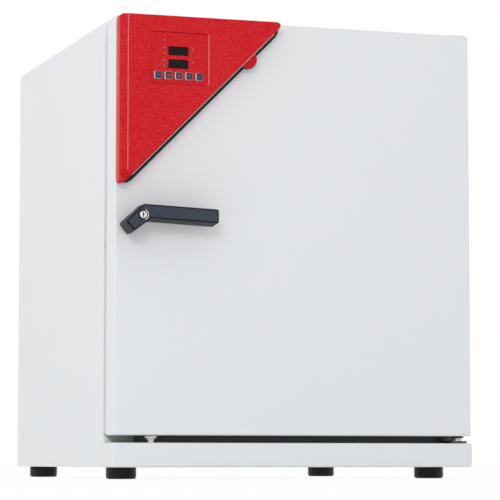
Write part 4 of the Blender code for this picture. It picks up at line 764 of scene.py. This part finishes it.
def makeKeys():
    # a clear body with a dark printed inlay, modelled once; two carry an arrow, the others a plain mark.
    # The inlay is set to the right, so the pale body shows only as a strip on the left: a painted highlight
    centres = keyCentres()
    half, front, litStrip = keys["size"] / 2, keys["front"], keys["litStrip"]
    x, z = centres[0]
    body = slab((x - half, front, z - half), (x + half, keys["back"], z + half), keys["corner"], 3)
    roundRim(keys["rim"], 3)
    inset(keys["dish"])
    inlay = slab(
        (x - half + litStrip, front - keys["inlayProud"], z - half + clear),
        (x + half - clear, front + keys["inlayDeep"], z + half - clear), keys["inlayCorner"], 3,
    )
    roundRim(keys["inlayRim"], 2)
    inset(keys["inlayDish"])
    settle(body, "keyBody1", "keyBody", keys["bodies"][0])
    settle(inlay, "keyInlay1", "keyPlastic", keys["bodies"][0])
    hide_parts("key_1")
    for index, rides in enumerate(keys["bodies"]):
        if index:
            shift = (index * keys["pitch"], 0, 0)
            twin = copyOf(body, "keyBody%d" % (index + 1), shift, rides)
            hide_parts("key_%d" % (index + 1))
            copyOf(inlay, "keyInlay%d" % (index + 1), shift, rides)
        mark = makeKeyMark(index, *centres[index])
        colour = "keyMarkRed" if index in keys["arrowTurns"] else "keyMarkDim"
        settle(mark, "keyMark%d" % (index + 1), colour, rides)


def makeKeyMark(index, x, z):
    front = keys["front"] - keys["markProud"]
    back = front + keys["markDeep"]
    if index in keys["arrowTurns"]:
        # an arrow head, down on the second key and up on the third
        obj = drum(keys["arrow"], front, back, (x, 0, z), 3)
        selectAll()
        spin = math.radians(keys["arrowTurns"][index])
        bpy.ops.transform.rotate(value=spin, orient_axis="Y", center_override=(x, front, z))
        roundCorners(keys["arrowCorner"], 2)
        return obj
    wide, tall = keys["bar"]
    return slab((x - wide, front, z - tall), (x + wide, back, z + tall), keys["barCorner"], 2)


displays = {
    "sunk": 0.0004, "back": -0.36055, "corner": 0.0008, "dish": (0.0004, -0.0002),
    "panes": (("upperDisplay", "upper_display"), ("lowerDisplay", "lower_display")),
}


def makeDisplays():
    low, high = bezel["windowX"]
    for (name, node), (upper, lower) in zip(displays["panes"], bezel["windows"]):
        pane = slab(
            onDoor(low + clear, bezel["front"] + displays["sunk"], lower - clear),
            onDoor(high - clear, displays["back"], upper + clear), displays["corner"], 3,
        )
        inset(displays["dish"])
        settle(pane, name, "smokedWindow", "door")
        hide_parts(node)


lamps = {
    "half": 0.003, "deep": 0.003, "beyond": 0.004, "corner": 0.0006,
    "proud": 0.0002, "rooted": 0.001, "dome": ((0.0005, 0.00018), (0.0005, 0.00010)),
    "guides": (("leftLamps", "left_lamps"), ("rightLamps", "right_lamps")),
}


def makeLamps():
    # light guides with a domed end in every hole
    half, beyond, back = lamps["half"], lamps["beyond"], bezel["back"]
    for (name, node), (column, drops) in zip(lamps["guides"], bezel["lamps"]):
        bar = slab(
            onDoor(column - half, back + clear, max(drops) + beyond),
            onDoor(column + half, back + lamps["deep"], min(drops) - beyond),
        )
        leave()
        rounding = bar.modifiers.new("rounding", "BEVEL")
        rounding.width = lamps["corner"]
        rounding.segments = 2
        bpy.ops.object.modifier_apply(modifier=rounding.name)
        stubs = []
        for drop in drops:
            stub = drum(
                bezel["lampRadius"], bezel["front"] - lamps["proud"], back + lamps["rooted"],
                onDoor(column, 0, drop), 16,
            )
            inset(*lamps["dome"])
            stubs.append(stub)
        only(bar)
        for stub in stubs:
            stub.select_set(True)
        bpy.ops.object.join()
        settle(bar, name, "lampLens", "door")
        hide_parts(node)


disc = {
    "centre": (-0.098, 0, 0.746), "radius": 0.0175, "front": -0.36325, "back": -0.35425,
    "skirtShows": 0.0008, "faceDeep": 0.0062, "skirtFrom": 0.0058, "faceRim": 0.0022,
    "dish": ((0.0030, 0.0), (0.0012, -0.0006)), "ribs": 24, "facesPerRib": 4, "groove": -0.0007,
    "spindle": 0.005, "rooted": 0.001, "spindleEnd": (0.0015, -0.0015),
}


def makeDisc():
    # thumb disc of the main switch: red face on a black skirt, with fine ribs round the skirt; the skirt
    # shows as a thin dark ring round the face, partly painted shade on the disc's edge
    centre, front = disc["centre"], disc["front"]
    face = drum(disc["radius"] - disc["skirtShows"], front, front + disc["faceDeep"], centre, 48)
    roundRim(disc["faceRim"], 4)
    inset(*disc["dish"])
    settle(face, "switchFace", "discRed", "switch_disc")
    sides = disc["ribs"] * disc["facesPerRib"]
    skirt = drum(disc["radius"], front + disc["skirtFrom"], disc["back"], centre, sides)
    step = 2 * math.pi / disc["ribs"]

    def inGroove(m, n):
        turn = math.atan2(m.z - centre[2], m.x - centre[0])
        return facesAside(m, n) and (turn / step) % 1.0 < 1 / disc["facesPerRib"]

    pick("FACE", inGroove)
    swell(disc["groove"])
    spindle = drum(disc["spindle"], disc["back"] - disc["rooted"], cover["back"], centre, 20)
    inset(disc["spindleEnd"], cap=facesBack)
    carve(skirt, spindle, "UNION")
    settle(skirt, "switchSkirt", "blackPlastic", "switch_disc")
    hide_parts("main_switch")
    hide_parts("main_switch")


highlightBead = {
    "front": 0.0030, "back": 0.0060, "tall": 0.0022, "sunk": 0.0015, "corner": 0.0004,
    "ends": (1.25, 1.1),  # in shares of the cover's rounded tips
}


def makeHighlightBead():
    # thin pale bead along the slanting side, between the cover and its seat; its pale grey is a painted
    # highlight on the cover's rounded rim
    leg, tip, front = cover["leg"], cover["tipCut"], cover["front"]
    start, end = tip * highlightBead["ends"][0], leg - tip * highlightBead["ends"][1]
    low = onDoor(start, front + highlightBead["front"], leg)
    high = onDoor(end, front + highlightBead["back"], leg - highlightBead["tall"])
    obj = slab(low, high)
    pick("VERT", lambda p: p.x < low[0] + near)
    move(z=start - highlightBead["sunk"])
    pick("VERT", lambda p: p.x > high[0] - near)
    move(z=end - highlightBead["sunk"])
    pick("EDGE", lambda m, d: abs(d.x) > 0.5)
    bevel(highlightBead["corner"], 2)
    settle(obj, "coverHighlightBead", "beadHighlightGrey", "door")


seat = {
    "shows": 0.0085, "side": 0.005, "top": 0.001, "front": -0.34855, "back": -0.34255,
    "tipCut": 0.0386, "rim": 0.0018,
}


def makeSeat():
    # dark seat of the cover, which shows along the slanting side; the dark band it makes there is partly
    # real seat and partly painted shadow of the cover
    leg = cover["leg"] + seat["shows"] * math.sqrt(2)
    left, top = door["left"] + seat["side"], door["top"] - seat["top"]
    obj = slab(onDoor(seat["side"], seat["front"], leg), onDoor(leg, seat["back"], seat["top"]))
    cutOffSlant(onDoor(leg / 2, 0, leg / 2))
    pick("EDGE", lambda m, d: runsBack(m, d) and m.x < left + near and m.z > top - near)
    bevel(cover["cornerCut"], 6)
    pick("EDGE", lambda m, d: runsBack(m, d) and (m.x > left + cover["leg"] or m.z < top - cover["leg"]))
    bevel(seat["tipCut"], 8)
    roundRim(seat["rim"], 3)
    settle(obj, "controlBase", "blackPlastic", "door", 40)
    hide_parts("control_base")


makeCover()
makeCoverFoot()
makeBezel()
makeKeys()
makeDisplays()
makeLamps()
makeDisc()
makeHighlightBead()
makeSeat()
print("control cover is modelled")


# Door lever with its lock

lever = {
    "pivot": (-0.312, 0.445), "front": -0.39625, "back": -0.36225, "swell": 0.004,
    "corner": 0.0034, "rim": 0.0030, "backRim": 0.0008, "reach": 0.06,
    "leg": ((-0.0046, -0.0159), (-0.0207, 0.0)), "elbow": (0.0264, 0.0073), "shoulder": (0.0120, 0.0316),
    "end": ((0.1490, 0.0017), (0.1490, 0.0260)),
    "foot": 0.026, "footBack": -0.34725, "footHalf": 0.010, "footRoot": 0.003, "footDrawn": 0.06,
    "footCorner": 0.0028, "footRim": 0.0010, "bore": 0.0063, "boreDepth": 0.012, "boreReach": 0.005,
}


def leverPoint(pair, drop=0.0):
    return lever["pivot"][0] + pair[0], lever["pivot"][1] + pair[1] - drop


def placeCorner(start, goal):
    # carries the corners that stand at one place to another, front and back alike
    pick("VERT", lambda p: abs(p.x - start[0]) < 2 * near and abs(p.z - start[1]) < 2 * near)
    move(x=goal[0] - start[0], z=goal[1] - start[1])


def makeLever():
    # a bar, its left end drawn out into the leg, and every corner carried to its place
    elbow, shoulder = leverPoint(lever["elbow"]), leverPoint(lever["shoulder"])
    endLow, endHigh = (leverPoint(p) for p in lever["end"])
    legLow, legHigh = (leverPoint(p) for p in lever["leg"])
    front, back, reach = lever["front"], lever["back"], lever["reach"]
    x0, x1, z0, z1 = elbow[0], endLow[0], endLow[1], endHigh[1]
    obj = slab((x0, front, z0), (x1, back, z1))
    pick("FACE", lambda m, n: n.x < -0.9)
    extrude(x=-reach)
    placeCorner((x0 - reach, z0), legLow)
    placeCorner((x0 - reach, z1), legHigh)
    placeCorner((x0, z0), elbow)
    placeCorner((x0, z1), shoulder)
    # the underside slopes outwards to the back
    lows = (legLow, elbow, endLow)
    pick("VERT", lambda p: p.y > back - near
         and any(abs(p.x - low[0]) < near and abs(p.z - low[1]) < near for low in lows))
    move(z=-lever["swell"])
    pick("EDGE", lambda m, d: abs(d.y) > 0.8)
    bevel(lever["corner"], 4)
    roundRim(lever["rim"], 4)
    roundRim(lever["backRim"], 2, cap=facesBack)
    # the foot of the leg reaches back to the rose
    low, side = Vector(leverPoint(lever["leg"][0], lever["swell"])), Vector(legHigh)
    alongLow = (Vector(leverPoint(lever["elbow"], lever["swell"])) - low).normalized() * lever["foot"]
    alongHigh = (Vector(shoulder) - side).normalized() * lever["foot"]
    middle = (low + side + low + alongLow + side + alongHigh) / 4
    half = lever["footHalf"]
    block = slab(
        (middle.x - half, back - lever["footRoot"], middle.y - half),
        (middle.x + half, lever["footBack"], middle.y + half),
    )
    for start, goal in (
        ((-half, -half), low), ((half, -half), low + alongLow),
        ((half, half), side + alongHigh), ((-half, half), side),
    ):
        goal = goal + (middle - goal) * lever["footDrawn"]
        placeCorner((middle.x + start[0], middle.y + start[1]), goal)
    roundCorners(lever["footCorner"], 4)
    roundRim(lever["footRim"], 3, cap=facesBack)
    carve(obj, block, "UNION")
    boreFront, boreBack = back - lever["boreDepth"], lever["footBack"] + lever["boreReach"]
    carve(obj, drum(lever["bore"], boreFront, boreBack, (lever["pivot"][0], 0, lever["pivot"][1]), 24))
    centre = lock["place"]
    carve(obj, drum(lock["well"], front - past, front + lock["wellDepth"], centre, 40))
    carve(obj, drum(lock["radius"] + lock["play"], front - past, lock["back"] + clear, centre, 40))
    # the lever starts in a darker grey, painted shade on its sides and underside; its front cap then gets
    # its own grey
    settle(obj, "doorLever", "handleShadedSide", "lever", 40)
    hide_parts("door_lever")
    accent(obj, "handleGrey", capFront)
    # the rounded rim round the face is painted near black: painted shade where it turns away from the light
    accent(obj, "handleShadedRim", lambda m, n: -0.995 < n.y < -0.12 and m.y < front + lever["rim"])
    # the well round the lock is painted black: painted shade in the recess
    accent(obj, "recessShadeBlack", lambda m, n: m.y > front + close and math.hypot(
        m.x - centre[0], m.z - centre[2]) < lock["well"] + close)


lock = {
    "place": (-0.3014, 0, 0.4574), "radius": 0.0064, "front": -0.39770, "back": -0.37455, "rim": 0.0007,
    "play": 0.0007, "well": 0.0086, "wellDepth": 0.0028,
    "keyway": (0.0009, 0.0044), "keywayCorner": 0.0006, "keywayDepth": 0.008, "darkReach": 0.0047,
    "ward": 0.0017, "wardUp": 0.0012, "wardDepth": 0.005, "land": 0.0010,
    "collar": 0.0098, "collarProud": 0.0007, "collarSunk": 0.0002, "collarRim": 0.0005,
    "collarOver": 0.0004, "collarFrom": 0.0035,
}


def makeLock():
    # cylinder with an upright keyway, in a bright collar let into the lever
    centre, front, face = lock["place"], lock["front"], lever["front"]
    plug = drum(lock["radius"], front, lock["back"], centre, 40)
    roundRim(lock["rim"], 3)
    wide, tall = lock["keyway"]
    x, _, z = centre
    before = front - past / 2
    deep = front + lock["keywayDepth"]
    carve(plug, slab((x - wide, before, z - tall), (x + wide, deep, z + tall), lock["keywayCorner"], 3))
    carve(plug, drum(lock["ward"], before, front + lock["wardDepth"], (x, 0, z + lock["wardUp"]), 24))
    settle(plug, "lockCylinder", "satinChrome", "lock")
    # the keyway's walls and floor are painted black: painted shade in the slot
    accent(plug, "recessShadeBlack", lambda m, n: m.y > front + close / 10
           and max(abs(m.x - x), abs(m.z - z)) < lock["darkReach"]
           and math.hypot(m.x - x, m.z - z) < lock["radius"] - lock["land"])
    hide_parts("lock_cylinder")
    ring = drum(lock["collar"], face - lock["collarProud"], face + lock["collarSunk"], centre, 48)
    roundRim(lock["collarRim"], 3)
    carve(ring, drum(lock["well"] - lock["collarOver"], face - past, face + past, centre, 48))
    # the collar is open to the left, where the lever's face is flush with it
    wide = lock["collar"] + past
    carve(ring, slab((x - wide, face - past, z - wide), (x + lock["collarFrom"], face + past, z + wide)))
    settle(ring, "lockCollar", "chrome", "lever")


makeLever()
makeLock()
print("door lever is modelled")


# Screws: one head of each kind is modelled, and copied to its other places

rear = {
    "face": 0.37275,
    "columns": {
        -0.326: (0.036, 0.290, 0.545, 0.801), 0.326: (0.036, 0.290, 0.545, 0.801),
        -0.165: (0.036, 0.801), 0.165: (0.036, 0.801),
    },
}
# a screw's measures in shares of its radius
screw = {"tall": 0.55, "rim": 0.35, "arms": ((0.60, 0.13), (0.13, 0.60)), "floor": 0.25}
screws = {
    "lipScrew": {
        "places": [(x, -0.2713, 0.0705) for x in (-0.272, 0.0, 0.268)],
        "radius": 0.0035, "turn": 90, "finish": "darkSteel",
    },
    "coverScrew": {
        "places": [(x, rear["face"] - close, z) for x, heights in rear["columns"].items() for z in heights],
        "radius": 0.0042, "turn": -90, "finish": "zinc",
    },
    "inletScrew": {
        "places": [(0.2205, 0.3757, 0.120), (0.2595, 0.3757, 0.120)],
        "radius": 0.0022, "turn": -90, "finish": "zinc",
    },
    "hingeScrew": {
        "places": [(0.316, -0.2754, 0.088), (0.328, -0.2754, 0.102)],
        "radius": 0.0032, "turn": 90, "finish": "zinc",
    },
}


def makeScrews(name):
    # pan head with a cross recess, modelled upright at the origin, then turned and set in its place
    kind = screws[name]
    radius, places = kind["radius"], kind["places"]
    obj = drum(radius, 0, radius * screw["tall"], (0, 0, 0), 24, "Z")
    roundRim(radius * screw["rim"], 4, facesUp, facesLevel)
    for wide, deep in screw["arms"]:
        low = (-radius * wide, -radius * deep, radius * screw["floor"])
        carve(obj, slab(low, (radius * wide, radius * deep, radius)))
    only(obj)
    obj.rotation_euler = (math.radians(kind["turn"]), 0, 0)
    obj.location = places[0]
    settle(obj, name + "1", kind["finish"], "cabinet", 40)
    for index, place in enumerate(places[1:]):
        shift = [a - b for a, b in zip(place, places[0])]
        copyOf(obj, "%s%d" % (name, index + 2), shift, "cabinet")


# Gap under the door: rest, shaded lip, hinge sleeve and screws

gap = {"low": 0.0642, "high": 0.0768}

rest = {
    "place": (-0.263, -0.31525, 0), "flange": 0.0105, "flangeLow": 0.0722, "flangeHigh": 0.0760,
    "rim": 0.0008, "cone": (0.0026, 0.0), "coneTall": 0.0045, "coneTaper": 0.66,
}


def makeDoorRest():
    # turned from the flange down: a cone under it, then a straight stem
    x, y, _ = rest["place"]
    low, tall, taper = rest["flangeLow"], rest["coneTall"], rest["coneTaper"]
    obj = drum(rest["flange"], low, rest["flangeHigh"], rest["place"], 40, "Z")
    roundRim(rest["rim"], 3, facesDown, facesLevel)
    roundRim(rest["rim"], 3, facesUp, facesLevel)
    inset(rest["cone"], cap=lambda m, n: n.z < -0.9 and m.z < low + close)
    extrude(z=-tall)
    bpy.ops.transform.resize(value=(taper, taper, 1), center_override=(x, y, low))
    extrude(z=gap["low"] + close - low + tall)
    settle(obj, "doorRest", "whitePlastic", "cabinet")
    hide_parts("door_rest")


lip = {
    "ends": (-0.3375, -0.3160, -0.2825), "front": -0.2720, "back": -0.2714,
    "hidden": 0.003, "rim": 0.00015,
}


def makeLip():
    # folded lip of the frame, cut on the slant at its outer end; its grey-green is the white return flange
    # painted in shade
    high, low, inner = lip["ends"]
    below, above = gap["low"] - lip["hidden"], gap["high"] + lip["hidden"]
    obj = slab((high, lip["front"], below), (inner, lip["back"], above))
    pick("VERT", lambda p: p.x < high + close and p.z < gap["low"])
    move(x=low - high)
    pick("EDGE", lambda m, d: abs(d.y) < 0.1 and m.y < lip["front"] + close)
    bevel(lip["rim"], 2)
    settle(obj, "frameLip", "lipShadeGrey", "cabinet")


sleeve = {
    "place": (0.322, -0.31525, 0), "radius": 0.0088, "low": 0.0684, "high": 0.0733, "rim": 0.0003,
    "groove": (0.0703, 0.0717), "grooveDepth": -0.0008, "bore": (0.0080, 0.060, 0.080),
}


def makeSleeve():
    # bright sleeve on the hinge pin, with a groove round its middle
    obj = drum(sleeve["radius"], sleeve["low"], sleeve["high"], sleeve["place"], 32, "Z")
    low, high = sleeve["groove"]
    for height in (low, high):
        selectAll()
        bpy.ops.mesh.bisect(plane_co=(0, 0, height), plane_no=(0, 0, 1))
    pick("FACE", lambda m, n: abs(n.z) < 0.1 and low < m.z < high)
    swell(sleeve["grooveDepth"])
    roundRim(sleeve["rim"], 2, lambda m, n: abs(n.z) > 0.9, facesLevel)
    carve(obj, drum(*sleeve["bore"], sleeve["place"], 40, "Z"))
    settle(obj, "hingeSleeve", "chrome", "cabinet")


makeDoorRest()
makeLip()
makeSleeve()
makeScrews("lipScrew")
print("gap under the door is modelled")


# Rear wall: a bare plate, screws round the cover and the small fixings

plate = {
    "box": (-0.070, 0.070, 0.270, 0.340), "sunk": 0.0002, "proud": 0.0007, "corner": 0.004,
    "rim": (0.0012, -0.00025), "rivet": 0.0016, "rivetIn": 0.005, "rivetProud": 0.0011, "rivetRim": 0.0006,
}


def makePlate():
    # blank rating plate with rounded corners and four rivets
    x0, x1, z0, z1 = plate["box"]
    face, inside = rear["face"], plate["rivetIn"]
    obj = slab((x0, face - plate["sunk"], z0), (x1, face + plate["proud"], z1), plate["corner"], 4)
    inset(plate["rim"], cap=lambda m, n: n.y > 0.99)
    settle(obj, "blankPlate", "jacketSteel", "cabinet")
    corner = (x0 + inside, 0, z0 + inside)
    rivet = drum(plate["rivet"], face + plate["sunk"], face + plate["rivetProud"], corner, 16)
    roundRim(plate["rivetRim"], 3, facesBack)
    settle(rivet, "plateRivet1", "zinc", "cabinet")
    wide, tall = x1 - x0 - 2 * inside, z1 - z0 - 2 * inside
    for index, shift in enumerate(((wide, 0, 0), (0, 0, tall), (wide, 0, tall))):
        copyOf(rivet, "plateRivet%d" % (index + 2), shift, "cabinet")


makePlate()
for name in ("coverScrew", "inletScrew", "hingeScrew"):
    makeScrews(name)
print("rear wall is modelled")


# Shelves: perforated sheet with turned-down edges, modelled once

shelf = {
    "across": 19, "along": 17, "margin": 0.016, "hole": 0.0062, "holeCut": 0.55,
    "sheet": 0.0015, "corner": 0.004,
    "copies": (("middleShelf", "middle_shelf", "shelf_mid"), ("upperShelf", "upper_shelf", "shelf_high")),
}


def makeShelves():
    low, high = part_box("lower_shelf")
    half = shelf["sheet"] / 2
    x, y = (low[0] + high[0]) / 2, (low[1] + high[1]) / 2
    wide, deep = high[0] - low[0] - 2 * half, high[1] - low[1] - 2 * half
    fieldWide, fieldDeep = wide - 2 * shelf["margin"], deep - 2 * shelf["margin"]
    restart()
    bpy.ops.mesh.primitive_grid_add(
        x_subdivisions=shelf["across"], y_subdivisions=shelf["along"], size=1,
        location=(x, y, high[2] - half),
    )
    obj = bpy.context.object
    obj.scale = (fieldWide, fieldDeep, 1)
    applyPlace()
    edit(obj)
    # a hole in every cell: inset, corners cut, and the middle taken out
    selectAll()
    cellWide, cellDeep = fieldWide / shelf["across"], fieldDeep / shelf["along"]
    bpy.ops.mesh.inset(thickness=cellWide / 2 - shelf["hole"], use_individual=True)
    bevel(shelf["hole"] * shelf["holeCut"], 1, "VERTICES")

    def inHole(m, n):
        across, along = (m.x - x + fieldWide / 2) / cellWide, (m.y - y + fieldDeep / 2) / cellDeep
        return abs(across % 1 - 0.5) < 0.08 and abs(along % 1 - 0.5) < 0.08

    pick("FACE", inHole)
    bpy.ops.mesh.delete(type="FACE")
    # plain margin, then the edges turned down
    pick("EDGE", lambda m, d: abs(m.x - x) > fieldWide / 2 - close or abs(m.y - y) > fieldDeep / 2 - close)
    extrude()
    bpy.ops.transform.resize(value=(wide / fieldWide, deep / fieldDeep, 1), center_override=(x, y, high[2]))
    extrude(z=low[2] - high[2] + half)
    pick("EDGE", lambda m, d: abs(d.z) > 0.9)
    bevel(shelf["corner"], 3)
    leave()
    thick = obj.modifiers.new("sheet", "SOLIDIFY")
    thick.thickness = shelf["sheet"]
    thick.offset = 0
    bpy.ops.object.modifier_apply(modifier=thick.name)
    settle(obj, "lowerShelf", "chamberSteel", "shelf_low", 40)
    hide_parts("lower_shelf")
    for name, node, body in shelf["copies"]:
        twin = copyOf(obj, name, (0, 0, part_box(node)[0][2] - low[2]), body)
        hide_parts(node)


makeShelves()
print("shelves are modelled")


# Floor, backdrop and lamps

studio = {
    "fill": 0.74, "white": (1, 1, 1), "floor": (0.95, 0.95, 0.95), "floorRough": 0.9, "floorLift": 0.92,
    "floorRadius": 14, "aim": (0, 0, 0.45),
    "keyLamp": {"place": (-1.9, -4.4, 2.1), "size": (1.8, 1.1), "power": 44.0},
    "sideLamp": {"place": (-4.2, 0.6, 1.6), "size": (2.4, 2.0), "power": 20.0},
}

world = bpy.data.worlds.new("studio")
scene.world = world
world.use_nodes = True
sky = Nodes(world.node_tree)
fill = sky.tree.nodes["Background"]
sky.feed(fill.inputs["Color"], studio["white"])
sky.feed(fill.inputs["Strength"], studio["fill"])
seen = sky.node("ShaderNodeBackground", None, {"Color": studio["white"], "Strength": 1.0})
shown = sky.mixShader(sky.seenDirectly(), Wire(sky, fill.outputs[0]), seen)
sky.feed(sky.tree.nodes["World Output"].inputs[0], shown)

restart()
bpy.ops.mesh.primitive_circle_add(vertices=96, radius=studio["floorRadius"], fill_type="NGON")
floor = bpy.context.object
floor.name = "floor"
paint = Finish("paleFloor")
floor.data.materials.append(paint.set(colour=studio["floor"], rough=studio["floorRough"]))
matt = Wire(paint, paint.shader.outputs[0])
glow = paint.node("ShaderNodeEmission", None, {"Strength": 1.0})
lifted = paint.mixShader(paint.seenDirectly() * studio["floorLift"], matt, glow)
paint.feed(paint.tree.nodes["Material Output"].inputs[0], lifted)

for name in ("keyLamp", "sideLamp"):
    setup = studio[name]
    bpy.ops.object.light_add(type="AREA", location=setup["place"])
    lamp = bpy.context.object
    lamp.name = name
    lamp.data.shape = "RECTANGLE"
    lamp.data.size, lamp.data.size_y = setup["size"]
    lamp.data.energy = setup["power"]
    sight = Vector(studio["aim"]) - Vector(setup["place"])
    lamp.rotation_euler = sight.to_track_quat("-Z", "Y").to_euler()
print("studio is lit")
